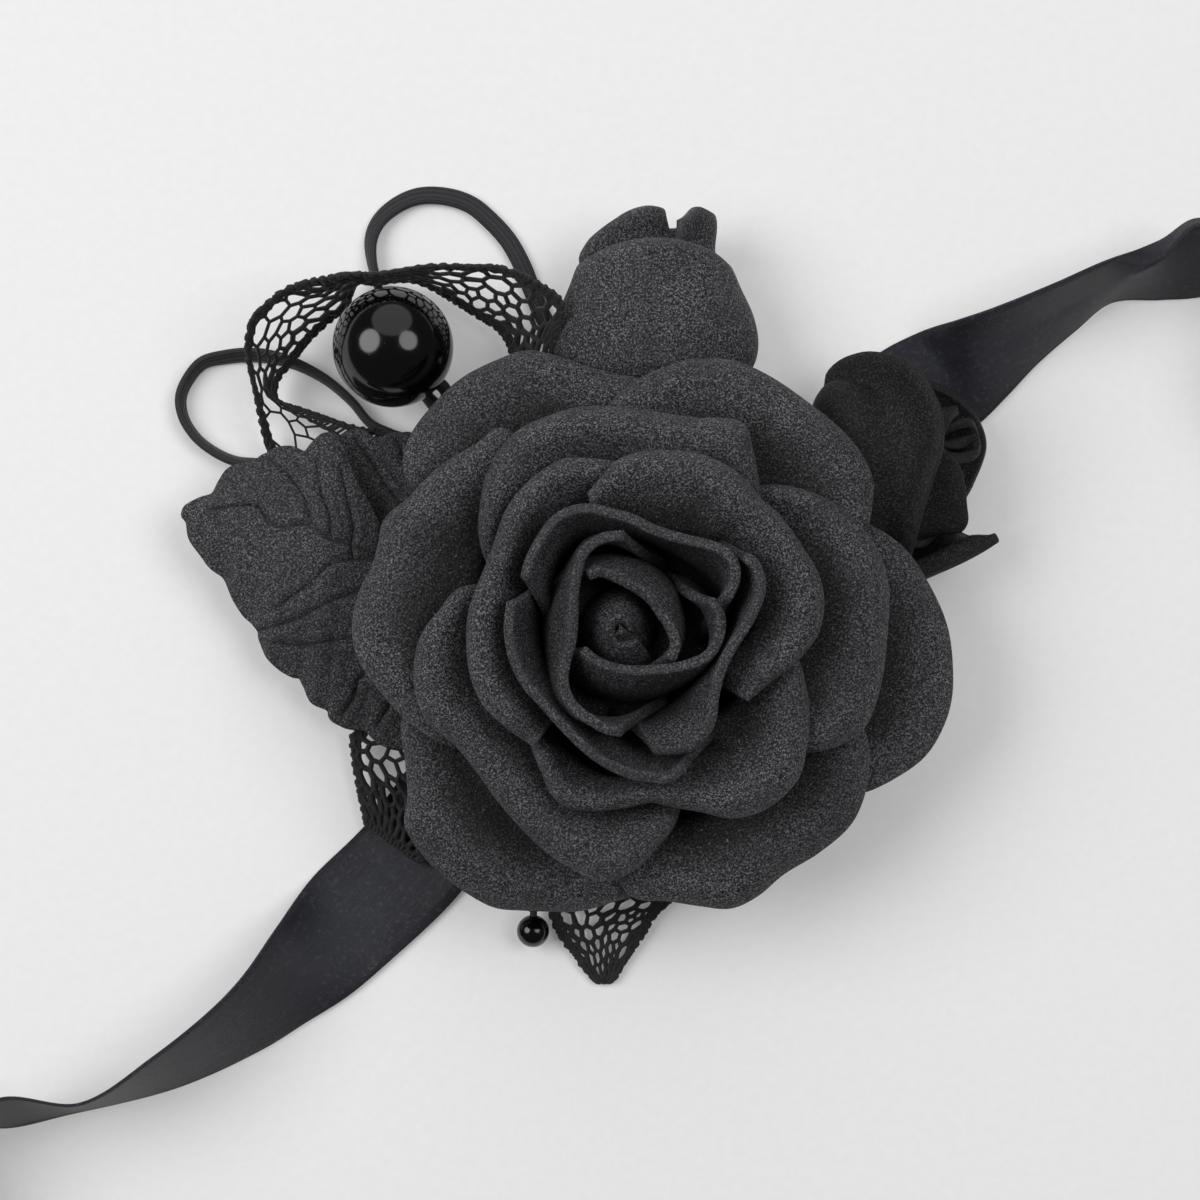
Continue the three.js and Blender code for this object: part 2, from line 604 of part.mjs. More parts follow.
const bellyStartShare = 0.17;
const bellySpanShare = 0.62;
const bellyPower = 0.8;
const flareStartShare = 0.55;
const layerRiseShare = 1.1;
function budShellGrid(bud, shell, columns, rows) {
  const rim = new THREE.SplineCurve(shell.rimShares.map(([u, share]) => new THREE.Vector2(u, share)));
  const narrow = budStemRadius + 2 * seatGap;
  const grid = [];
  for (let i = 0; i <= columns; i++) {
    const along = i / columns;
    const degrees = shell.fromDegrees + (shell.toDegrees - shell.fromDegrees) * along;
    const bearing = THREE.MathUtils.degToRad(degrees);
    const layer = shell.layer + tuckAt(shell, along, 0.12, 0.4);
    const closed = Math.max(layer, 0) * foamSpacing * layerRiseShare;
    const foot = Math.max(closed, shell.footShare * bud.length);
    const rimHeight = rim.getPoint(along).y * bud.length;
    const column = [];
    for (let j = 0; j <= rows; j++) {
      const share = j / rows;
      const height = foot + (rimHeight - foot) * share;
      const closing = Math.min((height - closed) / budShoulder, 1);
      const opened = Math.sqrt(1 - (1 - closing) ** 2);
      const belly = Math.sin(Math.PI * (bellyStartShare + (bellySpanShare * height) / bud.length));
      const flare = shell.flareShare * foamSpacing * smoothStep(flareStartShare, 1, share) ** 2;
      const wide = (size) => {
        const open = size * belly ** bellyPower - layer * foamSpacing;
        return narrow + (open - narrow) * opened + flare;
      };
      const across = wide(budRadius) * Math.cos(bearing);
      const above = wide(budRadius * bud.squashShare) * Math.sin(bearing);
      column.push(budPoint(bud.frame, height, across, above));
    }
    grid.push(column);
  }
  return grid;
}

const budRollTurns = 1.2;
const budRollSteps = 16;
const budRollSpacingShare = 0.94;
function budRollGrid(bud, bottom, top) {
  const grid = [];
  for (let i = 0; i <= budRollSteps; i++) {
    const turned = (i / budRollSteps) * budRollTurns;
    const reach = budRollRadius - turned * foamSpacing * budRollSpacingShare;
    const bearing = 2 * Math.PI * turned;
    grid.push([bottom, top].map((height) =>
      budPoint(bud.frame, height, reach * Math.cos(bearing), reach * Math.sin(bearing))));
  }
  return grid;
}

// A bud's stem runs from the base disc's rim into the bud, up to its roll.
const stemLift = baseTop - seatGap;
const stemEndShare = 0.28;
const rollTopShare = 0.77;
const topBase = fromGrid(0.54, 2.04, budHeight);
const topMouth = fromGrid(0.57, 3.7, budHeight + topBudRise);
const rightBase = fromGrid(2.12, 1.2, budHeight);
const rightMouth = fromGrid(3.6, 1.48, budHeight + rightBudRise);
const topBud = {
  name: 'top_bud', stemDegrees: 81.5, length: topBudLength, squashShare: 0.6,
  frame: budFrame(topBase, topMouth),
  shells: [
    { name: 'front_petal', layer: 0, fromDegrees: -12, toDegrees: 192, startTuck: 0, endTuck: 0,
      flareShare: 0, footShare: 0,
      rimShares: [[0, 0.6], [0.25, 0.72], [0.5, 0.79], [0.75, 0.77], [1, 0.64]] },
    { name: 'back_petal', layer: 0, fromDegrees: 172, toDegrees: 368, startTuck: 1, endTuck: 1,
      flareShare: 0.4, footShare: 0,
      rimShares: [[0, 0.72], [0.25, 0.94], [0.5, 1], [0.75, 0.96], [1, 0.78]] },
    { name: 'side_petal', layer: 1, fromDegrees: 20, toDegrees: 120, startTuck: 0, endTuck: 0.4,
      flareShare: 0, footShare: 0, rimShares: [[0, 0.94], [0.25, 0.97], [0.5, 0.9], [0.75, 0.85], [1, 0.8]] },
  ],
};
const rightBud = {
  name: 'right_bud', stemDegrees: 37, length: rightBudLength, squashShare: 0.56,
  frame: budFrame(rightBase, rightMouth),
  shells: [
    { name: 'front_petal', layer: 0, fromDegrees: -12, toDegrees: 188, startTuck: 0, endTuck: 0,
      flareShare: 0.3, footShare: 0,
      rimShares: [[0, 0.22], [0.2, 0.5], [0.4, 0.65], [0.6, 0.65], [0.8, 0.59], [1, 0.52]] },
    { name: 'back_petal', layer: 0, fromDegrees: 170, toDegrees: 372, startTuck: 1, endTuck: 1,
      flareShare: 0.5, footShare: 0,
      rimShares: [[0, 0.74], [0.25, 0.9], [0.5, 0.98], [0.75, 0.9], [1, 0.62]] },
    { name: 'side_petal', layer: -1, fromDegrees: 196, toDegrees: 236, startTuck: 0, endTuck: 0,
      flareShare: 0.8, footShare: 0.3,
      rimShares: [[0, 0.86], [0.25, 0.97], [0.5, 1], [0.75, 0.94], [1, 0.8]] },
    { name: 'inner_petal', layer: 1.05, fromDegrees: 40, toDegrees: 150, startTuck: 0, endTuck: 0,
      flareShare: 0, footShare: 0, rimShares: [[0, 0.68], [0.25, 0.76], [0.5, 0.8], [0.75, 0.76], [1, 0.7]] },
  ],
};
const budColumns = 9;
const budRows = 4;
for (const bud of [topBud, rightBud]) {
  for (const shell of bud.shells) {
    const grid = budShellGrid(bud, shell, budColumns, budRows);
    addPiece(`${bud.name}_${shell.name}`, sheetGeometry(grid, foamThickness), foamBlack);
  }
  const stemEnd = stemEndShare * bud.length;
  const roll = budRollGrid(bud, stemEnd + seatGap, rollTopShare * bud.length);
  addPiece(`${bud.name}_roll`, sheetGeometry(roll, foamThickness), foamBlack);
  const root = polar(bud.stemDegrees, discRadius + seatGap, stemLift);
  const entry = budPoint(bud.frame, -budShoulder, 0, 0);
  const route = [root, root.clone().lerp(entry, 0.5).setZ((2 * root.z + entry.z) / 3), entry,
    bud.frame.base, budPoint(bud.frame, stemEnd, 0, 0)];
  addPiece(`${bud.name}_stem`, rodAlong(route, 2 * budStemRadius, 2 * budStemRadius, 8, 12), wireBlack);
}

// Leaves: a grid between the two edges, which run from the root to the tip, lifted along the middle.
const largeUpperShares = [[-1.72, 0.3, 0.7], [-2.05, 0.5, 0.85], [-2.22, 0.62, 1], [-2.24, 0.8, 1],
  [-2.33, 0.98, 1], [-2.44, 1.17, 1], [-2.53, 1.37, 1], [-2.65, 1.64, 1], [-2.76, 1.65, 1],
  [-2.85, 1.57, 1], [-2.94, 1.47, 1], [-3.08, 1.52, 1], [-3.21, 1.51, 1], [-3.33, 1.45, 1],
  [-3.44, 1.38, 1], [-3.69, 1.31, 1], [-3.78, 1.19, 1], [-3.86, 1.05, 1], [-4.01, 1, 1],
  [-4.13, 0.94, 1.05], [-4.17, 0.89, 1.05]];
const largeLowerShares = [[-1.55, -1.35, 0.7], [-2.01, -1.47, 0.7], [-2.17, -1.44, 0.75],
  [-2.35, -1.29, 0.75], [-2.49, -1.28, 0.75], [-2.67, -1.19, 0.8], [-2.71, -1.1, 0.8],
  [-2.87, -1.02, 0.85], [-2.94, -0.87, 0.85], [-3, -0.77, 0.85], [-3.06, -0.76, 0.85],
  [-3.21, -0.67, 0.85], [-3.3, -0.58, 0.9], [-3.37, -0.42, 0.9], [-3.44, -0.25, 0.9],
  [-3.55, -0.15, 0.9], [-3.64, -0.01, 0.95], [-3.74, 0.22, 0.95], [-3.87, 0.32, 1],
  [-3.96, 0.44, 1], [-4.08, 0.6, 1.05], [-4.12, 0.78, 1.05], [-4.17, 0.83, 1.05]];
const smallUpperShares = [[-1.6, 0.75, 0.55], [-1.7, 1.3, 0.55], [-1.86, 1.65, 0.55], [-2.01, 1.66, 0.55],
  [-2.12, 1.65, 0.55], [-2.25, 1.61, 0.55], [-2.37, 1.7, 0.55], [-2.49, 1.69, 0.55], [-2.57, 1.64, 0.55]];
const smallLowerShares = [[-1.7, 0.4, 0.55], [-2, 0.55, 0.55], [-2.25, 0.8, 0.55], [-2.36, 1, 0.55],
  [-2.46, 1.2, 0.55], [-2.54, 1.4, 0.55], [-2.58, 1.56, 0.55]];

function gridLine(shares, count) {
  return sampledCurve(shares.map(([right, back, up]) => fromGrid(right, back, up * leafHeight)), count);
}

function bandBetween(first, second, cells, lift) {
  return first.map((start, i) => {
    const along = i / (first.length - 1);
    const row = [];
    for (let j = 0; j <= cells; j++) {
      const share = j / cells;
      const point = start.clone().lerp(second[i], share);
      point.z += lift * Math.sin(Math.PI * share) * Math.sin(Math.PI * along);
      row.push(point);
    }
    return row;
  });
}

const leaves = [
  { name: 'leaf_large', upper: largeUpperShares, lower: largeLowerShares, columns: 18, cells: 4,
    lift: leafRise, stemDegrees: 184 },
  { name: 'leaf_small', upper: smallUpperShares, lower: smallLowerShares, columns: 8, cells: 3,
    lift: 0, stemDegrees: 158 },
];
for (const leaf of leaves) {
  const upper = gridLine(leaf.upper, leaf.columns);
  const lower = gridLine(leaf.lower, leaf.columns);
  const grid = bandBetween(upper, lower, leaf.cells, leaf.lift);
  addPiece(leaf.name, sheetGeometry(grid, leafThickness), leafBlack);
  const root = polar(leaf.stemDegrees, discRadius + seatGap, stemLift);
  const seat = upper[0].clone().lerp(lower[0], 1 / 2);
  const end = seat.clone().addScaledVector(root.clone().sub(seat).normalize(), leafThickness);
  const route = [root, root.clone().lerp(end, 1 / 2), end];
  addPiece(`${leaf.name}_stem`, rodAlong(route, 2 * leafStemRadius, 2 * leafStemRadius, 8, 4), wireBlack);
}

// Solids for cutting.
function toSolid(geometry) {
  const bare = geometry.clone();
  bare.deleteAttribute('normal');
  bare.deleteAttribute('uv');
  const merged = mergeVertices(bare);
  return new wasm.Manifold(new wasm.Mesh({
    numProp: 3,
    vertProperties: new Float32Array(merged.attributes.position.array),
    triVerts: new Uint32Array(merged.index.array),
  }));
}

function toGeometry(solid) {
  const mesh = solid.getMesh();
  const geometry = new THREE.BufferGeometry();
  geometry.setAttribute('position', new THREE.Float32BufferAttribute(mesh.vertProperties, 3));
  geometry.setIndex([...mesh.triVerts]);
  geometry.computeVertexNormals();
  return geometry;
}

// A bead on the middle of a route's end, bored along the route.
function boredBead(middle, way, radius, wireRadius, boreFrom, boreTo, across, down) {
  const ball = new THREE.SphereGeometry(radius, across, down);
  const reach = wireRadius + boreClearance;
  const bore = new THREE.CylinderGeometry(reach, reach, boreTo - boreFrom, 10);
  bore.translate(0, (boreFrom + boreTo) / 2, 0);
  bore.applyQuaternion(new THREE.Quaternion().setFromUnitVectors(new THREE.Vector3(0, 1, 0), way));
  const bead = toGeometry(toSolid(ball).subtract(toSolid(bore)));
  bead.translate(...middle);
  return bead;
}

// The large bead sits on a taped wire that rises from the base disc's rim into a bore in the bead.
const beadMiddle = fromGrid(-2.07, 2.53, beadHeight);
const wireTurnShares = [[-1.18, 1.12, 0.38], [-1.38, 1.7, 0.4]];
const wireEntryShares = [-1.6, 2.15, 0.54];
const beadEntry = fromGrid(wireEntryShares[0], wireEntryShares[1], wireEntryShares[2] * beadHeight);
const boreWay = beadMiddle.clone().sub(beadEntry).normalize();
const onBore = (distance) => beadMiddle.clone().addScaledVector(boreWay, distance);
const boreBottom = beadBoreDepth - beadRadius;
const largeBead = boredBead(
  beadMiddle, boreWay, beadRadius, beadWireRadius, -2 * beadRadius, boreBottom, 20, 12,
);
addPiece('large_bead', largeBead, beadBlack);
const wireEnd = boreBottom - seatGap;
const wireRoute = [
  polar(142, discRadius + seatGap, stemLift),
  ...wireTurnShares.map(([right, back, up]) => fromGrid(right, back, up * beadHeight)),
  onBore(-beadRadius - 2 * beadWireRadius),
  onBore(-beadRadius),
  onBore((wireEnd - beadRadius) / 2),
  onBore(wireEnd),
];
addPiece('large_bead_wire', rodAlong(wireRoute, 2 * beadWireRadius, 2 * beadWireRadius, 8, 20), wireBlack);

// A small bead and a cap bead, threaded end to end on a thin wire.
const smallMiddle = fromGrid(-0.67, -3.31, smallBeadRadius + seatGap);
const smallRoot = polar(253, discRadius + seatGap, stemLift);
const smallNeck = fromGrid(-0.66, -3, smallMiddle.z);
const smallWay = smallMiddle.clone().sub(smallNeck).normalize();
const onSmall = (distance) => smallMiddle.clone().addScaledVector(smallWay, distance);
const capDistance = -(smallBeadRadius + capBeadRadius + seatGap / 2);
const smallBead = boredBead(
  smallMiddle, smallWay, smallBeadRadius, smallWireRadius, -2 * smallBeadRadius, smallBeadRadius / 2, 12, 8,
);
addPiece('small_bead', smallBead, beadBlack);
const capMiddle = onSmall(capDistance);
const capBead = boredBead(
  capMiddle, smallWay, capBeadRadius, smallWireRadius, -2 * capBeadRadius, 2 * capBeadRadius, 12, 8,
);
addPiece('cap_bead', capBead, beadBlack);
const smallEnd = smallBeadRadius / 2 - seatGap;
const smallRoute = [
  smallRoot,
  fromGrid(-0.42, -2.1, stemLift),
  fromGrid(-0.6, -2.6, (stemLift + smallMiddle.z) / 2),
  onSmall(capDistance - 3 * capBeadRadius),
  onSmall(capDistance - capBeadRadius),
  onSmall(capDistance),
  onSmall(smallEnd),
];
addPiece('small_bead_wire', rodAlong(smallRoute, 2 * smallWireRadius, 2 * smallWireRadius, 8, 20), wireBlack);

// Lace: net bands between two edges, with an opening in every second cell each way.
// Places are right, back and up: shares of a grid square, and of the lace loop's rise.
const laceLift = baseBottom + laceThickness / 2;
const loopOuterShares = [[-0.25, 1.6, 0.246], [-0.35, 2, 0.31], [-0.44, 2.35, 0.5], [-0.44, 2.65, 0.73],
  [-0.38, 2.98, 0.92], [-0.64, 3.18, 0.92], [-1, 3.33, 0.95], [-1.28, 3.34, 0.96], [-1.7, 3.34, 1],
  [-2.04, 3.29, 1], [-2.26, 3.26, 1], [-2.48, 3.26, 0.985], [-2.71, 3.22, 0.96], [-2.93, 3.18, 0.94],
  [-3.16, 3.1, 0.92], [-3.32, 2.98, 0.91], [-3.48, 2.82, 0.85], [-3.53, 2.62, 0.77],
  [-3.53, 2.45, 0.69], [-3.46, 2.12, 0.54], [-3.39, 1.78, 0.35], [-3.32, 1.5, 0.19],
  [-3, 0.95, 0.17], [-2.55, 0.55, 0.16], [-2, 0.3, 0.15], [-1.5, 0, 0.135]];
const loopInnerShares = [[-0.9, 1.5, 0.21], [-0.92, 2, 0.223], [-0.89, 2.47, 0.23], [-1, 2.68, 0.23],
  [-1.28, 2.87, 0.23], [-1.56, 3.05, 0.19], [-1.84, 3.18, 0.17], [-2.06, 3.19, 0.17],
  [-2.25, 3.16, 0.17], [-2.43, 3.17, 0.17], [-2.54, 2.93, 0.17], [-2.75, 2.75, 0.17],
  [-2.9, 2.6, 0.17], [-3.02, 2.45, 0.17], [-3.1, 2.35, 0.17], [-3.18, 2.26, 0.17],
  [-3.23, 2.17, 0.17], [-3.23, 2, 0.16], [-3, 1.91, 0.155], [-2.7, 1.81, 0.15], [-2.46, 1.73, 0.15],
  [-2, 1.6, 0.145], [-1.7, 1.3, 0.14], [-1.4, 0.9, 0.138]];
const shortLeftShares = [[-1.7, -1, 0.196], [-2.15, -1.12, 0.196], [-2.47, -1.33, 0.19],
  [-2.46, -1.6, 0.18], [-2.41, -1.9, 0.165], [-2.34, -2.23, 0.14]];
const shortRightShares = [[-0.95, -1.9, 0.196], [-1.25, -2.15, 0.19], [-1.45, -2.35, 0.18],
  [-1.6, -2.5, 0.165], [-1.7, -2.57, 0.15], [-1.81, -2.62, 0.14]];
const tailLeftShares = [[-0.45, -2, 0.17], [-0.46, -2.6, 0.13], [-0.5, -3.11, 0.1], [-0.38, -3.39, 0.08],
  [-0.25, -3.55, 0.065], [-0.12, -3.73, 0.05], [-0.03, -3.82, 0.045]];
const tailRightShares = [[0.65, -2, 0.17], [0.72, -2.6, 0.13], [0.71, -3, 0.105], [0.58, -3.12, 0.1],
  [0.5, -3.23, 0.09], [0.37, -3.44, 0.075], [0.23, -3.65, 0.06], [0.18, -3.73, 0.05],
  [0.1, -3.82, 0.045]];

// Both edges of a band start on the base disc's rim, clear of it all along the band's end.
function laceRoots(firstDegrees, secondDegrees) {
  const half = THREE.MathUtils.degToRad(Math.abs(secondDegrees - firstDegrees) / 2);
  const reach = (discRadius + seatGap) / Math.cos(half);
  return [firstDegrees, secondDegrees].map((degrees) => polar(degrees, reach, laceLift));
}

function laceEdge(start, shares, end, count) {
  const places = shares.map(([right, back, up]) => fromGrid(right, back, up * laceRise));
  return sampledCurve([...start, ...places, ...end], count);
}

function addLace(name, edges, cells) {
  const grid = bandBetween(edges[0], edges[1], cells, 0);
  const isOpen = (i, j) => i % 2 === 1 && j % 2 === 1 && i < edges[0].length - 2;
  addPiece(name, sheetGeometry(grid, laceThickness, isOpen), laceBlack);
}

const loopRoots = laceRoots(105, 128);
const loopEnds = [174, 148].map((degrees) => polar(degrees, discRadius - laceTuckLength, ribbonMiddle));
addLace('lace_loop', [
  laceEdge([loopRoots[0]], loopOuterShares, [loopEnds[0]], 36),
  laceEdge([loopRoots[1]], loopInnerShares, [loopEnds[1]], 36),
], 7);
const shortRoots = laceRoots(195, 232);
addLace('lace_short_end', [
  laceEdge([shortRoots[0]], shortLeftShares, [], 9),
  laceEdge([shortRoots[1]], shortRightShares, [], 9),
], 5);
const tailRoots = laceRoots(240, 288);
addLace('lace_pointed_end', [
  laceEdge([tailRoots[0]], tailLeftShares, [], 11),
  laceEdge([tailRoots[1]], tailRightShares, [], 11),
], 7);

// Cord loops, lying flat, with both ends against the backing pad's rim.
const cordLevel = cordHeight + cordThickness / 2;
const leftLoopShares = [[-1.95, 1.6], [-2.09, 1.66], [-2.29, 1.76], [-2.48, 1.98], [-2.71, 2.18],
  [-2.93, 2.31], [-3.1, 2.38], [-3.35, 2.44], [-3.53, 2.45], [-3.74, 2.43], [-3.97, 2.37], [-4.12, 2.2],
  [-4.19, 2.02], [-4.16, 1.82], [-4.03, 1.62], [-3.85, 1.48], [-3.65, 1.39], [-3.42, 1.36],
  [-3.1, 1.3], [-2.7, 1.2], [-2.2, 1.1], [-1.9, 1]];
const topLoopShares = [[-1.5, 1.8], [-1.7, 2], [-2, 2.4], [-2.15, 2.8], [-2.22, 3.15], [-2.28, 3.38],
  [-2.29, 3.6], [-2.22, 3.78], [-2.05, 3.94], [-1.82, 4.04], [-1.55, 4.04], [-1.3, 3.96],
  [-1.1, 3.8], [-0.92, 3.6], [-0.78, 3.35], [-0.68, 3.1], [-0.55, 2.8], [-0.3, 2.5]];
const cordLoops = [
  { name: 'cord_loop_left', shares: leftLoopShares, ends: [141, 152] },
  { name: 'cord_loop_top', shares: topLoopShares, ends: [130, 99] },
];
for (const { name, shares, ends } of cordLoops) {
  const [start, end] = ends.map((degrees) => polar(degrees, padRadius + seatGap, cordLevel));
  const laid = shares.map(([right, back]) => fromGrid(right, back, cordLevel));
  addPiece(name, rodAlong([start, ...laid, end], cordWidth, cordThickness, 8, 32), cordBlack);
}

export default corsage;
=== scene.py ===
import math

import bpy
import numpy as np
from mathutils import Matrix, Vector, geometry, noise


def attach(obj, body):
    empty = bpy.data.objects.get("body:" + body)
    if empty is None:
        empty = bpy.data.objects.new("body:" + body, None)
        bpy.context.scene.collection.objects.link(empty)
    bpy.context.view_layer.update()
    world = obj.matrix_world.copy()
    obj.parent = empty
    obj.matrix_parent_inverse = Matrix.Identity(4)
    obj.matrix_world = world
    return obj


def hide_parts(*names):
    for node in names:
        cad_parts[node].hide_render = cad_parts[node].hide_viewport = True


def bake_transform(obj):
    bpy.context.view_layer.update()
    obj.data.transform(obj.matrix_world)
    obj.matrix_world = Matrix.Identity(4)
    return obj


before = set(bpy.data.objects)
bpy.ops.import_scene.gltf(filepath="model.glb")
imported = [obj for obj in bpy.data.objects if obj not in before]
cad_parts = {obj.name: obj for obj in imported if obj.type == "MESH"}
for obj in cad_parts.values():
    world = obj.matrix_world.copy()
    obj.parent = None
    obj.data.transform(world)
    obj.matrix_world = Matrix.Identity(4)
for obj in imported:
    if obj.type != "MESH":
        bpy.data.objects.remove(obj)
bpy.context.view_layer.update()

bl_info = {
    "name": "Wrist corsage",
    "version": (1, 0, 0),
    "blender": (4, 5, 0),
    "location": "3D View > Sidebar > Corsage",
    "description": "Foam rose and buds, leaves, beads, lace and cord loops on a satin wrist ribbon",
    "category": "Add Mesh",
}

# Lengths are in millimetres until a mesh is made. The outlines are drawn on a square grid, as seen from
# an eye high above the table, so a high rim is drawn in towards the middle of the grid as it is lifted.
MM = 0.001
GRID_SQUARE = 10.9
EYE = (-2.2, 2.8, 300.0)
VIEW_WIDTH = 12 * GRID_SQUARE
SEAT_GAP = 0.3
PAD_RADIUS, PAD_THICKNESS = 21.0, 1.2
DISC_RADIUS, DISC_THICKNESS = 14.0, 1.2
RIBBON_WIDTH, RIBBON_ROOM = 12.0, 0.5
HINGE_REACH = PAD_RADIUS + 1
RIBBON_MIDDLE = PAD_THICKNESS + SEAT_GAP + RIBBON_ROOM / 2
DISC_BOTTOM = PAD_THICKNESS + RIBBON_ROOM + 2 * SEAT_GAP
DISC_TOP = DISC_BOTTOM + DISC_THICKNESS
STEM_LIFT = DISC_TOP - SEAT_GAP
FOAM_THICKNESS, FOAM_SPACING = 1.1, 1.6
RIM_ROUNDING, RIM_REACH = 0.75, 0.5
FLOOR_GAP = 0.05
ROSE_HEIGHT, LIP_DROP = 28.0, 2.0
CORE_RADIUS, LAST_RANK, FLOOR_SLOPE = 1.5, 11, 0.22
# Petals: how many foam spacings their walls stand inside the hull and their least flare; the depth of a
# heart petal's wall, and the depth over which it spreads; where tucks begin and end, as shares of a rim;
# how far a rim falls at its ends, and over what share of it.
WALL_INSET, LEAST_FLARE, HEART_WALL_DEPTH, SPREAD_DEPTH = 1.2, 1.3, 9.0, 8
TUCK_SHARES, BUD_TUCK_SHARES = (0.2, 0.45), (0.12, 0.4)
END_FALL, END_SHARE = 1.4, 0.1
BOWL_CORNER, BOTTOM_FLOOR = 2.4, 4.4
# Rolled heart: turns; height, its gain with each turn and its slant; radius at the foot and the rim, each
# with its loss with each turn; length over width; the fold's way over it, and the depths of fold and pit.
HEART_TURNS, HEART_HEIGHT, HEART_GAIN, HEART_SLANT = 1.25, 4.9, 0.7, 0.5
HEART_FOOT, HEART_RIM, HEART_STRETCH = (4.2, 1.5), (1.55, 1.2), 1.12
FOLD_WAY, FOLD_DEPTH, PIT_DEPTH = np.array([0.77, -0.64]), 0.7, 1.5
CORE_TOP = BOTTOM_FLOOR + (LAST_RANK - 1) * FOAM_SPACING + FOAM_THICKNESS
BUD_RADIUS, BUD_SHOULDER, BUD_HEIGHT = 9.6, 2.6, 6.4
BUD_STEM_RADIUS, BUD_ROLL_FOOT, BUD_ROLL_PITCH = 0.8, 0.28, 0.94
# Buds' shells: where the rim curls out, and the place, width and depth of the neck under it, as shares.
CURL_START, NECK_SHARE, NECK_WIDTH, NECK_DEPTH = 0.72, 0.68, 0.16, 0.55
LEAF_HEIGHT, LEAF_RISE, LEAF_THICKNESS = 5.6, 3.0, 0.8
LEAF_STEM_RADIUS, TAPE_LAP = 0.7, 2.4
BEAD_RADIUS, BEAD_HEIGHT, BEAD_BORE_DEPTH = 6.4, 8.6, 5.0
BEAD_WIRE_RADIUS, BORE_CLEARANCE, BORE_LIP = 0.7, 0.15, 0.12
SMALL_BEAD_RADIUS, CAP_BEAD_RADIUS, SMALL_WIRE_RADIUS = 1.75, 0.9, 0.4
LACE_RISE, LACE_TUCK = 13.0, 2.0
LACE_LIFT = DISC_BOTTOM + 0.25
# Lace: the usual spacing and thread of the two ends and thread of the loop, as shares; points over a band,
# places tried for each opening and half the net's depth; along an edging its step, the depth of its waves,
# the pitch of waves and swellings, and that and the thickness of its stitches. Each edging thread has its
# distance from the edge, its thickness as a share and how far the ladder spreads it.
END_SPACING, END_THREAD, LOOP_THREAD = 0.85, 0.68, 0.85
LACE_ROWS, LACE_CELLS, TRIES, NET_DEPTH = 240, 12, 26, 0.06
EDGE_STEP, WAVE_DEPTH, WAVE_PITCH, SWELL_PITCH = 0.3, 0.12, 1.3, 1.1
STITCH_PITCH, STITCH_THREAD = 0.62, 0.65
EDGE_THREADS = ((0.1, 1.2, 0), (0.5, 1.1, -0.7), (0.9, 0.9, 1))
CORD_LEVEL, CORD_GAP = 0.9, 0.03
ROLL_OUTER_RADIUS, ROLL_PITCH, ROLL_TURNS, ROLL_LIFT = 8.725, 1.05, 4.5, 0.034
# Pitches of the weaves, in centimetres, and the ribs round the cord.
WARP_PITCH, WEFT_PITCH, CORD_WEAVE_PITCH, CORD_RIBS = 0.011, 0.03, 0.035, 14

# Points along and down the sheets, the pitch of their waves, and a leaf's creases and the ridges beside
# them: half width, distance, half width and height as a share of the crease's depth.
OPEN_COLUMNS, HEART_COLUMNS, PETAL_ROWS, PETAL_WAVE = 90, 60, 34, 7.0
BUD_COLUMNS, BUD_ROWS, BUD_WAVE = 70, 40, 6.0
LEAF_WAVE, LEAF_UNEVENNESS = 5.0, 0.25
CREASE_WIDTH, RIDGE_DISTANCE, RIDGE_WIDTH, RIDGE_SHARE = 0.028, 0.075, 0.035, 0.35
STRIP_POINTS, RIBBON_CELLS, ROLL_STEPS = 260, 14, 90

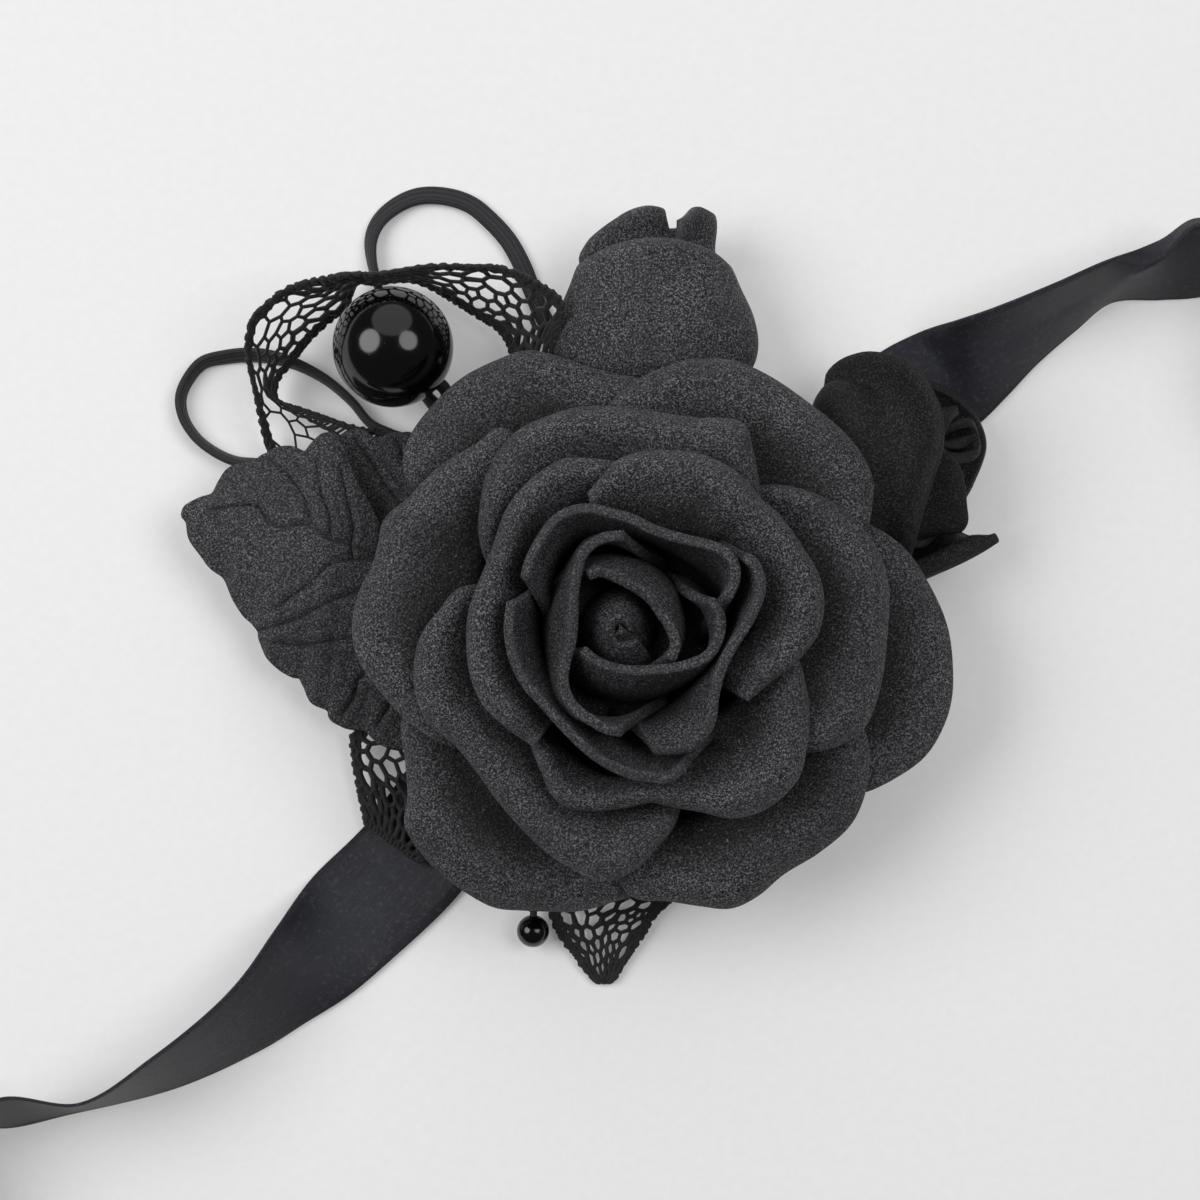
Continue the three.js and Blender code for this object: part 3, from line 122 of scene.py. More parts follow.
# Rose petals: piece, rank, foam spacings from the heart to its wall (none for a heart petal), crown and
# lip drop as shares, how far each end is tucked in, and the rim as places on the grid.
PETALS = [
    ("rose_heart_petal_1", 1, 0, 0.982, 0, 0, 0,
     [(-0.1, 0.24), (0, 0.27), (0.14, 0.23), (0.33, 0.14), (0.5, 0.02), (0.6, -0.13), (0.69, -0.27),
      (0.75, -0.44), (0.71, -0.58)]),
    ("rose_heart_petal_2", 2, 0, 0.971, 0, 0, 0,
     [(-0.16, -0.5), (-0.05, -0.59), (0.14, -0.67), (0.33, -0.7), (0.52, -0.7), (0.71, -0.68),
      (0.9, -0.63), (1.07, -0.54), (1.19, -0.32), (1.19, -0.13), (1.12, -0.01)]),
    ("rose_heart_petal_3", 3, 0, 1.007, 0, 0, 0,
     [(0.23, 0.64), (0.04, 0.62), (-0.1, 0.54), (-0.19, 0.42), (-0.22, 0.26), (-0.24, 0.06),
      (-0.25, -0.18), (-0.28, -0.42), (-0.34, -0.63), (-0.36, -0.8), (-0.32, -0.97), (-0.22, -1.11),
      (-0.08, -1.21), (0.04, -1.28), (0.21, -1.32)]),
    ("rose_heart_petal_4", 4, 0, 0.993, 0, 0, 0,
     [(-0.75, 0.23), (-0.7, 0.42), (-0.58, 0.64), (-0.44, 0.81), (-0.27, 0.9), (-0.08, 0.92),
      (0.14, 0.87), (0.33, 0.81), (0.52, 0.71), (0.71, 0.64), (0.9, 0.59), (1.1, 0.54), (1.26, 0.46),
      (1.34, 0.33), (1.33, 0.16), (1.27, 0.02)]),
    ("rose_heart_petal_5", 5, 0, 0.975, 0, 0, 0,
     [(1.47, 0.42), (1.56, 0.33), (1.6, 0.2), (1.59, 0.05), (1.54, -0.09), (1.47, -0.24), (1.34, -0.44),
      (1.24, -0.61), (1.17, -0.8), (1.13, -0.99), (1.11, -1.18), (1.05, -1.33), (0.9, -1.46),
      (0.74, -1.5), (0.55, -1.5)]),
    ("rose_heart_petal_6", 6, 0, 0.957, 0, 0, 0,
     [(-0.88, -0.03), (-0.9, -0.32), (-0.85, -0.61), (-0.73, -0.85), (-0.56, -1.04), (-0.44, -1.18),
      (-0.25, -1.38), (-0.06, -1.54), (0.14, -1.66), (0.33, -1.74), (0.52, -1.78), (0.7, -1.78),
      (0.83, -1.68)]),
    ("rose_middle_petal_1", 6, 1, 0.907, 0.9, 0, 0,
     [(-0.1, 1.06), (0.05, 1.21), (0.19, 1.36), (0.42, 1.45), (0.76, 1.47), (1.01, 1.43), (1.26, 1.32),
      (1.45, 1.17), (1.58, 1), (1.81, 0.79), (2.02, 0.5), (2.17, 0.21), (2.21, -0.09), (2.15, -0.34),
      (1.96, -0.59), (1.68, -0.8), (1.47, -0.99)]),
    ("rose_middle_petal_2", 7, 1, 0.886, 0.7, 1, 0,
     [(0.32, 1.3), (0.13, 1.36), (-0.08, 1.38), (-0.37, 1.38), (-0.58, 1.26), (-0.79, 1.05),
      (-0.92, 0.84), (-1.05, 0.46), (-1.17, 0.16), (-1.26, -0.09), (-1.29, -0.34), (-1.26, -0.72),
      (-1.15, -1.01), (-0.96, -1.22), (-0.8, -1.35), (-0.67, -1.45)]),
    ("rose_middle_petal_3", 8, 1, 0.857, 0.7, 1, 1,
     [(1.8, -0.3), (1.96, -0.61), (2.04, -0.89), (2.08, -1.18), (2.06, -1.47), (1.98, -1.77),
      (1.77, -1.98), (1.54, -2.1), (1.31, -2.15), (1.05, -2.1), (0.76, -2.04), (0.51, -1.98),
      (0.26, -2.04), (-0.08, -2.1), (-0.33, -2.06), (-0.46, -1.94), (-0.54, -1.73), (-0.63, -1.52),
      (-0.74, -1.3)]),
    ("rose_wide_petal_1", 8, 3, 0.757, 1, 0, 0,
     [(-1.02, 0.25), (-1.13, 0.5), (-1.17, 0.75), (-1.11, 1.17), (-0.98, 1.47), (-0.79, 1.68),
      (-0.5, 1.82), (-0.21, 1.91), (0.09, 1.92), (0.42, 1.87), (0.89, 1.8), (1.41, 1.74), (1.47, 1.55),
      (1.54, 1.21), (1.58, 1), (1.62, 0.8)]),
    ("rose_wide_petal_2", 9, 3, 0.721, 0.6, 0, 0,
     [(-1.1, 0.2), (-1.22, 0.13), (-1.42, 0.08), (-1.59, -0.13), (-1.76, -0.38), (-1.82, -0.68),
      (-1.8, -0.97), (-1.68, -1.22), (-1.42, -1.43), (-1.21, -1.68), (-1, -1.98), (-0.75, -2.27),
      (-0.5, -2.52), (-0.25, -2.67), (0, -2.78), (0.3, -2.69), (0.51, -2.48), (0.68, -2.27),
      (0.78, -2.05), (0.86, -1.85)]),
    ("rose_wide_petal_3", 9, 3, 0.721, 1, 0.85, 0.15,
     [(1.45, 1.05), (1.6, 1.11), (1.85, 1.12), (2.15, 1.05), (2.44, 0.88), (2.65, 0.67), (2.82, 0.37),
      (2.88, 0.08), (2.86, -0.34), (2.82, -0.72), (2.73, -1.05), (2.61, -1.28), (2.36, -1.43),
      (2.06, -1.49), (1.85, -1.45)]),
    ("rose_wide_petal_4", 10, 4, 0.621, 0.8, 0, 0,
     [(-0.75, 1.5), (-1, 1.7), (-1.21, 1.55), (-1.59, 1.3), (-1.89, 1), (-2.14, 0.79), (-2.2, 0.54),
      (-2.26, 0.33), (-2.39, 0.04), (-2.45, -0.26), (-2.41, -0.51), (-2.22, -0.84), (-1.97, -1.12),
      (-1.72, -1.31), (-1.47, -1.43), (-1.32, -1.42)]),
    ("rose_outer_petal_1", 10, 5, 0.579, 0.9, 0, 0,
     [(0.05, 1.72), (0.13, 1.95), (0.4, 2.19), (0.72, 2.33), (1.01, 2.39), (1.31, 2.38), (1.54, 2.29),
      (2, 2.01), (2.36, 1.72), (2.61, 1.42), (2.71, 1.17), (2.7, 0.96), (2.65, 0.75), (2.45, 0.55)]),
    ("rose_outer_petal_2", 10, 5, 0.571, 0.9, 0, 0,
     [(2.45, -1.15), (2.61, -1.31), (2.67, -1.56), (2.65, -1.85), (2.5, -2.21), (2.19, -2.5),
      (1.81, -2.73), (1.54, -2.96), (1.31, -3.06), (1.01, -3.03), (0.72, -2.99), (0.34, -2.94),
      (0.18, -2.7)]),
    ("rose_outer_petal_3", 11, 6, 0.493, 0.8, 0, 0,
     [(-1.75, 0.95), (-1.93, 1.34), (-1.87, 1.63), (-1.63, 1.97), (-1.34, 2.22), (-1, 2.39),
      (-0.75, 2.47), (-0.5, 2.43), (-0.21, 2.33), (0.13, 2.24), (0.4, 2.19), (0.62, 2.12)]),
    ("rose_outer_petal_4", 11, 6, 0.479, 0.75, 0, 0,
     [(2.5, 0.82), (2.86, 0.63), (3.07, 0.46), (3.28, 0.12), (3.45, -0.26), (3.51, -0.59), (3.5, -0.97),
      (3.41, -1.26), (3.24, -1.54), (2.99, -1.73), (2.65, -1.89), (2.38, -1.9)]),
    ("rose_outer_petal_5", 11, 6, 0.493, 0.9, 0, 0,
     [(-1.72, -1.13), (-1.94, -1.18), (-1.91, -1.6), (-1.89, -1.98), (-1.92, -2.25), (-1.82, -2.44),
      (-1.63, -2.67), (-1.34, -2.9), (-1.05, -3.05), (-0.79, -3.08), (-0.5, -3.09), (-0.21, -3.07),
      (0.09, -2.99), (0.34, -2.92), (0.55, -2.75)]),
]
LIP = [(0.02, 0.62), (0.22, 0.74), (0.52, 0.9), (0.8, 1)]

# How far a heart petal's wall flares out towards its rim, from one end to the other (where negative, the
# wall bellies out below the rim), and how much wider than its rim the petal is at its foot, as a share.
HEART_LEANS = {
    "rose_heart_petal_1": ([-1.6, -2.4, -2.2, -1.2, 0.6], 0.7),
    "rose_heart_petal_2": ([-2.4, -2.8, -2.6, -1.8, 0.6, 2.4], 0.5),
    "rose_heart_petal_3": ([1.6, -1.6, -2.6, -2.4, -1, 1.8], 0.35),
    "rose_heart_petal_4": ([4, 3.4, 2, 0.8, 1.4, 3], 0.45),
    "rose_heart_petal_5": ([1.6, 0.8, 0, 1.5, 4, 4], 0.45),
    "rose_heart_petal_6": ([2.6, 2.6, 2, 1.6, 1.6], 0.45),
}

# Buds: bearing of the stem, length, depth over width, foot and mouth on the grid, rise of the mouth, girth
# from foot to mouth as shares, the roll (radius, offset, top, slant and turns) and the shells, each with its
# layer, bearings round the bud, tucks, foot, flares of the rim and rim heights as shares.
BUDS = [
    ("top_bud", 81.5, 20.5, 0.6, (0.54, 2.04), (0.57, 3.7), 1.6, [0.8, 1.07, 1.05, 0.85, 0.64, 0.5],
     (2.15, 0, 0.77, 0, 1.2), [
        ("front_petal", 0, -12, 192, 0, 0, 0, [0.1, 0.1],
         [0.64, 0.67, 0.74, 0.785, 0.8, 0.785, 0.74, 0.68, 0.64]),
        ("back_petal", 0, 116, 372, 1.1, 1, 0, [1, 0.8, 0.6, 0.4, 0.4],
         [0.9, 0.965, 0.94, 0.9, 0.87, 0.86, 0.83, 0.78, 0.7]),
        ("side_petal", 1.1, -6, 124, -0.5, 1.2, 0, [1.1, 1.2, 0.8, 0],
         [0.72, 0.79, 0.87, 0.93, 0.96, 0.965, 0.94, 0.83])]),
    ("right_bud", 37, 19.5, 0.56, (2.12, 1.2), (3.6, 1.48), 2.3, [0.6, 1, 1.04, 0.97, 0.86, 0.7],
     (2.9, 1.5, 0.84, 0.1, 1.7), [
        ("front_petal", 0, -12, 188, 0, 0, 0, [0.8, 1.3, 1.3, 1.1, 1, 1, 0.9, 0.9, 0.9],
         [0.2, 0.41, 0.64, 0.72, 0.755, 0.72, 0.62, 0.53, 0.46, 0.41, 0.36]),
        ("back_petal", 0, 170, 372, 1, 1, 0, [0.5, 0.5],
         [0.5, 0.58, 0.68, 0.84, 0.95, 0.93, 0.83, 0.7, 0.55]),
        ("side_petal", -1, 176, 236, 0, 0, 0.3, [0.6, 0.6], [0.5, 0.9, 0.86, 0.78, 0.7, 0.6]),
        ("inner_petal", 0.9, 78, 180, 0, 0, 0, [0, 0.2, 0.3], [0.66, 0.78, 0.8, 0.79, 0.78, 0.74])]),
]

# Leaves: the two edges from root to tip as right, back and up, and the creases pressed into them.
LEAVES = [
    ("leaf_large", 184, LEAF_RISE,
     [(-1.72, 0.3, 0.7), (-2.05, 0.5, 0.85), (-2.22, 0.62, 1), (-2.24, 0.8, 1), (-2.33, 0.98, 1),
      (-2.44, 1.17, 1), (-2.53, 1.37, 1), (-2.65, 1.64, 1), (-2.76, 1.65, 1), (-2.85, 1.57, 1),
      (-2.94, 1.47, 1), (-3.08, 1.52, 1), (-3.21, 1.51, 1), (-3.33, 1.45, 1), (-3.44, 1.38, 1),
      (-3.69, 1.31, 1), (-3.78, 1.19, 1), (-3.86, 1.05, 1), (-4.01, 1, 1), (-4.13, 0.94, 1.05),
      (-4.17, 0.89, 1.05)],
     [(-1.55, -1.35, 0.7), (-2.01, -1.47, 0.7), (-2.17, -1.44, 0.75), (-2.35, -1.29, 0.75),
      (-2.49, -1.28, 0.75), (-2.67, -1.19, 0.8), (-2.71, -1.1, 0.8), (-2.87, -1.02, 0.85),
      (-2.94, -0.87, 0.85), (-3, -0.77, 0.85), (-3.06, -0.76, 0.85), (-3.21, -0.67, 0.85),
      (-3.3, -0.58, 0.9), (-3.37, -0.42, 0.9), (-3.44, -0.25, 0.9), (-3.55, -0.15, 0.9),
      (-3.64, -0.01, 0.95), (-3.74, 0.22, 0.95), (-3.87, 0.32, 1), (-3.96, 0.44, 1),
      (-4.08, 0.6, 1.05), (-4.12, 0.78, 1.05), (-4.17, 0.83, 1.05)],
     [[(-1.9, 0.35), (-2.35, 0.4), (-2.6, 0.38), (-2.73, 0.33), (-2.86, 0.2), (-3.1, 0.02), (-3.24, -0.08)],
      [(-2.2, 0.45), (-2.7, 0.62), (-2.95, 0.75), (-3.16, 0.72), (-3.33, 0.8), (-3.42, 0.93), (-3.9, 0.9)],
      [(-2.47, 0.4), (-2.49, 0.55), (-2.47, 0.72), (-2.52, 0.95), (-2.6, 1.3)],
      [(-2.69, 0.62), (-2.71, 0.85), (-2.78, 1.05), (-2.84, 1.4)],
      [(-2.88, 0.75), (-2.95, 1), (-3.12, 1.25), (-3.3, 1.4)],
      [(-2.1, -0.3), (-2.42, -0.36), (-2.75, -0.42), (-3, -0.45), (-3.25, -0.42)],
      [(-2.05, -0.6), (-2.4, -0.78), (-2.45, -0.95), (-2.58, -1.15)],
      [(-2, -0.75), (-2.08, -1), (-2.22, -1.25)],
      [(-2.35, 0.1), (-2.7, -0.02), (-3.05, -0.2), (-3.2, -0.25), (-3.4, -0.3)]]),
    ("leaf_small", 158, 0,
     [(-1.6, 0.75, 0.55), (-1.7, 1.3, 0.55), (-1.86, 1.65, 0.55), (-2.01, 1.66, 0.55),
      (-2.12, 1.65, 0.55), (-2.25, 1.61, 0.55), (-2.37, 1.7, 0.55), (-2.49, 1.69, 0.55),
      (-2.57, 1.64, 0.55)],
     [(-1.7, 0.4, 0.55), (-2, 0.55, 0.55), (-2.25, 0.8, 0.55), (-2.36, 1, 0.55), (-2.46, 1.2, 0.55),
      (-2.54, 1.4, 0.55), (-2.58, 1.56, 0.55)],
     [[(-1.8, 0.8), (-2.1, 1.1), (-2.3, 1.4), (-2.45, 1.6)], [(-1.75, 1.1), (-1.95, 1.4), (-2.02, 1.6)]]),
]

# Lace: a guessed fullness (its cut size over its gathered size), how drawn together its net is, the
# bearings of its roots on the disc's rim, those of its far ends, and its two edges as right, back and up.
LACES = [
    ("lace_loop", 1.3, 0, (105, 128), (174, 148),
     [(-0.25, 1.6, 0.246), (-0.35, 2, 0.31), (-0.44, 2.35, 0.5), (-0.44, 2.65, 0.73), (-0.38, 2.98, 0.92),
      (-0.64, 3.18, 0.92), (-1, 3.33, 0.95), (-1.28, 3.34, 0.96), (-1.7, 3.34, 1), (-2.04, 3.29, 1),
      (-2.26, 3.26, 1), (-2.48, 3.26, 0.985), (-2.71, 3.22, 0.96), (-2.93, 3.18, 0.94),
      (-3.16, 3.1, 0.92), (-3.32, 2.98, 0.91), (-3.48, 2.82, 0.85), (-3.53, 2.62, 0.77),
      (-3.53, 2.45, 0.69), (-3.46, 2.12, 0.54), (-3.39, 1.78, 0.35), (-3.32, 1.5, 0.19),
      (-3, 0.95, 0.17), (-2.55, 0.55, 0.16), (-2, 0.3, 0.15), (-1.5, 0, 0.135)],
     [(-0.9, 1.5, 0.21), (-0.92, 2, 0.223), (-0.89, 2.47, 0.23), (-1, 2.68, 0.23), (-1.28, 2.87, 0.23),
      (-1.56, 3.05, 0.19), (-1.84, 3.18, 0.17), (-2.06, 3.19, 0.17), (-2.25, 3.16, 0.17),
      (-2.43, 3.17, 0.17), (-2.54, 2.93, 0.17), (-2.75, 2.75, 0.17), (-2.9, 2.6, 0.17),
      (-3.02, 2.45, 0.17), (-3.1, 2.35, 0.17), (-3.18, 2.26, 0.17), (-3.23, 2.17, 0.17),
      (-3.23, 2, 0.16), (-3, 1.91, 0.155), (-2.7, 1.81, 0.15), (-2.46, 1.73, 0.15), (-2, 1.6, 0.145),
      (-1.7, 1.3, 0.14), (-1.4, 0.9, 0.138)]),
    ("lace_short_end", 2, 2.2, (195, 232), None,
     [(-1.7, -1, 0.196), (-2.15, -1.12, 0.196), (-2.47, -1.33, 0.19), (-2.46, -1.6, 0.18),
      (-2.41, -1.9, 0.165), (-2.34, -2.23, 0.14)],
     [(-0.95, -1.9, 0.196), (-1.25, -2.15, 0.19), (-1.45, -2.35, 0.18), (-1.6, -2.5, 0.165),
      (-1.7, -2.57, 0.15), (-1.81, -2.62, 0.14)]),
    ("lace_pointed_end", 1.9, 2, (240, 288), None,
     [(-0.45, -2, 0.17), (-0.46, -2.6, 0.13), (-0.5, -3.11, 0.1), (-0.38, -3.39, 0.08),
      (-0.25, -3.55, 0.065), (-0.12, -3.73, 0.05), (-0.03, -3.82, 0.045)],
     [(0.65, -2, 0.17), (0.72, -2.6, 0.13), (0.71, -3, 0.105), (0.58, -3.12, 0.1), (0.5, -3.23, 0.09),
      (0.37, -3.44, 0.075), (0.23, -3.65, 0.06), (0.18, -3.73, 0.05), (0.1, -3.82, 0.045)]),
]

# Cord loops: the bearings at which the ends meet the pad's rim, the twist from one end to the other in
# radians, and places on the grid.
CORDS = [
    ("cord_loop_left", (141, 152), [0.35, 1.1, 1.35, 1.25, 0.9, 1.2, 1.35, 1.1, 0.6, 0.3, 0.25],
     [(-1.95, 1.6), (-2.09, 1.66), (-2.29, 1.76), (-2.48, 1.98), (-2.71, 2.18), (-2.93, 2.31),
      (-3.1, 2.38), (-3.35, 2.44), (-3.53, 2.45), (-3.74, 2.43), (-3.97, 2.37), (-4.12, 2.2),
      (-4.19, 2.02), (-4.16, 1.82), (-4.03, 1.62), (-3.85, 1.48), (-3.65, 1.39), (-3.42, 1.36),
      (-3.1, 1.3), (-2.7, 1.2), (-2.2, 1.1), (-1.9, 1)]),
    ("cord_loop_top", (130, 99), [0.3, 0.5, 1.2, 1.45, 1.3, 0.6, 0.25, 0.15, 0.2, 0.5, 0.9, 0.6],
     [(-1.5, 1.8), (-1.7, 2), (-2, 2.4), (-2.15, 2.8), (-2.22, 3.15), (-2.28, 3.38), (-2.29, 3.6),
      (-2.22, 3.78), (-2.05, 3.94), (-1.82, 4.04), (-1.55, 4.04), (-1.3, 3.96), (-1.1, 3.8),
      (-0.92, 3.6), (-0.78, 3.35), (-0.68, 3.1), (-0.55, 2.8), (-0.3, 2.5)]),
]

# Ribbon tails: side, bearing, turn of the roll, place of the roll, and the lines from edge to edge as
# right, back and up, the last as a share of the ribbon's width.
TAILS = [
    ("left", 225.5, 1, (-7.18, -5.945), {
        -1: [(-2.34, -2.25, 0.04), (-2.88, -2.79, 0.04), (-3.23, -3.28, 0.45), (-3.57, -3.77, 0.72),
             (-3.86, -4.08, 0.83), (-4.46, -4.57, 0.95), (-5.2, -5.04, 1.02), (-6, -4.99, 1.03)],
        1: [(-1.4, -2.92, 0.04), (-2.1, -3.6, 0.04), (-2.52, -3.95, 0.04), (-2.95, -4.22, 0.04),
            (-3.37, -4.48, 0.04), (-4.21, -4.86, 0.03), (-5.29, -5.13, 0.03), (-6, -5.27, 0.03)]}),
    ("right", 33, -1, (7.31, 2.4), {
        1: [(2.72, 2.41, 0.04), (3.17, 2.66, 0.06), (3.6, 2.8, 0.6), (3.93, 2.91, 0.78),
            (4.55, 3.16, 0.88), (5.02, 3.37, 0.9), (5.6, 3.59, 0.72), (6, 3.81, 0.68)],
        0: [(3, 1.93, 0.04), (3.46, 2.2, 0.04), (3.83, 2.42, 0.32), (4.15, 2.63, 0.4),
            (4.65, 2.93, 0.45), (5.08, 3.16, 0.55), (5.6, 3.4, 0.82), (6, 3.75, 0.82)],
        -1: [(3.27, 1.46, 0.04), (3.75, 1.74, 0.04), (4.05, 2.03, 0.04), (4.36, 2.36, 0.03),
             (4.75, 2.7, 0.03), (5.11, 2.98, 0.03), (5.6, 3.01, 0.04), (6, 3.04, 0.04)]}),
]


def from_grid(right, back, height):
    """A place on the drawing grid at a height, in millimetres in the corsage's own frame."""
    shrink = 1 - height / EYE[2]
    return np.array([EYE[0] + right * GRID_SQUARE * shrink, EYE[1] + back * GRID_SQUARE * shrink, height])


def polar(degrees, reach, height):
    bearing = math.radians(degrees)
    return np.array([reach * math.cos(bearing), reach * math.sin(bearing), height])


def smooth_step(low, high, value):
    share = np.clip((value - low) / (high - low), 0, 1)
    return share * share * (3 - 2 * share)


def run_length(points, axis=0):
    """How far each point lies from the first, along one axis of an array of points."""
    steps = np.linalg.norm(np.diff(points, axis=axis), axis=-1)
    return np.cumsum(np.insert(steps, 0, 0, axis), axis)


def line_length(line):
    return float(np.linalg.norm(np.diff(line, axis=0), axis=1).sum())


def spaced(line, count):
    """The same line with evenly spaced points."""
    line = np.asarray(line, float)
    length = run_length(line)
    at = np.linspace(0, length[-1], count + 1)
    return np.column_stack([np.interp(at, length, line[:, k]) for k in range(line.shape[1])])


def curve_line(points, fine=24):
    """A centripetal Catmull-Rom curve through points."""
    p = np.asarray(points, float)
    ends = np.vstack([2 * p[0] - p[1], p, 2 * p[-1] - p[-2]])
    u = np.linspace(0, 1, fine, endpoint=False)[:, None]
    parts = []
    for a, b, c, d in zip(ends, ends[1:], ends[2:], ends[3:]):
        k0, k1, k2 = (max(np.linalg.norm(q - r), 1e-6) ** 0.5 for q, r in ((b, a), (c, b), (d, c)))
        m1 = ((b - a) / k0 - (c - a) / (k0 + k1) + (c - b) / k1) * k1
        m2 = ((c - b) / k1 - (d - b) / (k1 + k2) + (d - c) / k2) * k1
        parts.append(b + m1 * u + (3 * (c - b) - 2 * m1 - m2) * u**2 + (2 * (b - c) + m1 + m2) * u**3)
    return np.vstack([*parts, p[-1:]])


def sampled_curve(points, count):
    return spaced(curve_line(points), count)


def normals_of(grid):
    normal = np.cross(np.gradient(grid, axis=0), np.gradient(grid, axis=1))
    return normal / np.maximum(np.linalg.norm(normal, axis=2, keepdims=True), 1e-9)


def ruled(first, second, cells):
    """A grid of straight lines from one edge to the other."""
    share = np.linspace(0, 1, cells + 1)[None, :, None]
    return first[:, None] * (1 - share) + second[:, None] * share


def sheet_form(grid, thickness, bulge=0.4, rings=5, from_rim=False):
    """A closed sheet over a grid of points, with a rounded rim.

    It gives the vertices, faces, each vertex's place along and across, which is measured from the first
    row or from the rim in the last row, and its nearness to a cut rim.
    """
    grid = np.asarray(grid, float)
    columns, rows, _ = grid.shape
    normal = normals_of(grid) * (thickness / 2)
    loop = [(i, 0) for i in range(columns - 1)] + [(columns - 1, j) for j in range(rows - 1)]
    loop += [(i, rows - 1) for i in range(columns - 1, 0, -1)] + [(0, j) for j in range(rows - 1, 0, -1)]
    at = tuple(np.array(loop).T)
    rim, rim_normal = grid[at], normal[at]
    tangent = np.roll(rim, -1, axis=0) - np.roll(rim, 1, axis=0)
    out = np.cross(tangent, rim_normal)
    out *= thickness / 2 * bulge / np.maximum(np.linalg.norm(out, axis=1, keepdims=True), 1e-9)
    rounds = []
    for k in range(1, rings + 1):
        angle = math.pi * k / (rings + 1)
        up, away = math.cos(angle), math.sin(angle)
        lift = math.copysign(abs(up) ** RIM_ROUNDING, up)
        rounds.append(rim + rim_normal * lift + out * away**RIM_ROUNDING)
    vertices = np.vstack([(grid + normal).reshape(-1, 3), (grid - normal).reshape(-1, 3), *rounds])
    count = columns * rows
    index = np.arange(count).reshape(columns, rows)
    a, b, c, d = index[:-1, :-1], index[1:, :-1], index[1:, 1:], index[:-1, 1:]
    faces = [np.stack([a, b, c, d], 2).reshape(-1, 4), np.stack([a, d, c, b], 2).reshape(-1, 4) + count]
    top = index[at]
    between = [2 * count + k * len(loop) + np.arange(len(loop)) for k in range(rings)]
    for upper, lower in zip([top, *between], [*between, top + count]):
        faces.append(np.stack([lower, np.roll(lower, -1), np.roll(upper, -1), upper], 1))
    along, across = run_length(grid, 0), run_length(grid, 1)
    place = np.stack([np.repeat(along.mean(1)[:, None], rows, 1), across], 2)
    edge = np.minimum(np.minimum(along, along[-1] - along), across[:, -1:] - across)
    if from_rim:
        place[:, :, 1] = across[:, -1:] - across
    near = np.exp(-edge / RIM_REACH)
    places = np.vstack([place.reshape(-1, 2)] * 2 + [place[at]] * rings)
    nearness = np.concatenate([near.ravel(), near.ravel()] + [np.ones(len(loop))] * rings)
    return vertices, np.vstack(faces), places, nearness


def frames_along(line):
    """Tangents and two steady cross directions along a line."""
    tangent = np.gradient(line, axis=0)
    tangent /= np.linalg.norm(tangent, axis=1, keepdims=True)
    side = np.cross(tangent[0], [0, 0, 1])
    if np.linalg.norm(side) < 1e-3:
        side = np.cross(tangent[0], [0, 1, 0])
    sides = []
    for t in tangent:
        side = side - t * np.dot(side, t)
        side = side / np.linalg.norm(side)
        sides.append(side)
    sides = np.array(sides)
    return tangent, sides, np.cross(sides, tangent)


def tube_form(line, radius_of, sides=16, level=False):
    """A closed tube along a line. radius_of(share, angle, length) gives its reach across and above."""
    line = np.asarray(line, float)
    tangent, side, up = frames_along(line)
    if level:
        side = np.cross(tangent, [0, 0, 1])
        side /= np.linalg.norm(side, axis=1, keepdims=True)
        up = np.cross(side, tangent)
    length = run_length(line)
    angle = np.linspace(-math.pi / 2, 3 * math.pi / 2, sides, endpoint=False)
    rows, places = [], []
    for k, point in enumerate(line):
        across, above = radius_of(length[k] / length[-1], angle, length[k])
        rows.append(point + across[:, None] * side[k] + above[:, None] * up[k])
        places.append(np.column_stack([np.full(sides, length[k]), angle]))
    count = len(line)
    index = np.arange(count * sides).reshape(count, sides)
    nxt = np.roll(index, -1, axis=1)
    faces = np.stack([index[:-1], index[1:], nxt[1:], nxt[:-1]], 2).reshape(-1, 4).tolist()
    faces += [index[0].tolist(), index[-1][::-1].tolist()]
    return np.vstack(rows), faces, np.vstack(places), None


def turned_rings(section, around):
    """A section, as distances from the axis and heights, turned round: a row for each of its points."""
    angle = np.linspace(0, 2 * math.pi, around, endpoint=False)
    return np.array([np.column_stack([r * np.cos(angle), r * np.sin(angle), np.full(around, h)])
                     for r, h in section])


def stood_along(vertices, middle, way):
    """Points set out round the upright axis, moved to stand round an axis through a middle."""
    turn = np.array(Vector((0, 0, 1)).rotation_difference(Vector(way)).to_matrix())
    return vertices @ turn.T + np.asarray(middle)


def lathe_form(profile, around, middle=(0, 0, 0), way=(0, 0, 1)):
    """A closed turned form, whose profile runs from pole to pole."""
    rings = turned_rings(profile[1:-1], around)
    vertices = np.vstack([[[0, 0, profile[0][1]]], *rings, [[0, 0, profile[-1][1]]]])
    index = 1 + np.arange(len(rings) * around).reshape(len(rings), around)
    after = np.roll(index, -1, axis=1)
    faces = np.stack([index[:-1], after[:-1], after[1:], index[1:]], 2).reshape(-1, 4).tolist()
    faces += [(0, b, a) for a, b in zip(index[0].tolist(), after[0].tolist())]
    end = len(vertices) - 1
    faces += [(end, a, b) for a, b in zip(index[-1].tolist(), after[-1].tolist())]
    return stood_along(vertices, middle, way), faces, None, None


def add_attribute(mesh, name, values):
    """A number on each vertex."""
    mesh.attributes.new(name, "FLOAT", "POINT").data.foreach_set("value", np.asarray(values, np.float32))


def linked(name, data):
    """An object that holds the data, in the scene."""
    made = bpy.data.objects.new(name, data)
    bpy.context.scene.collection.objects.link(made)
    return made


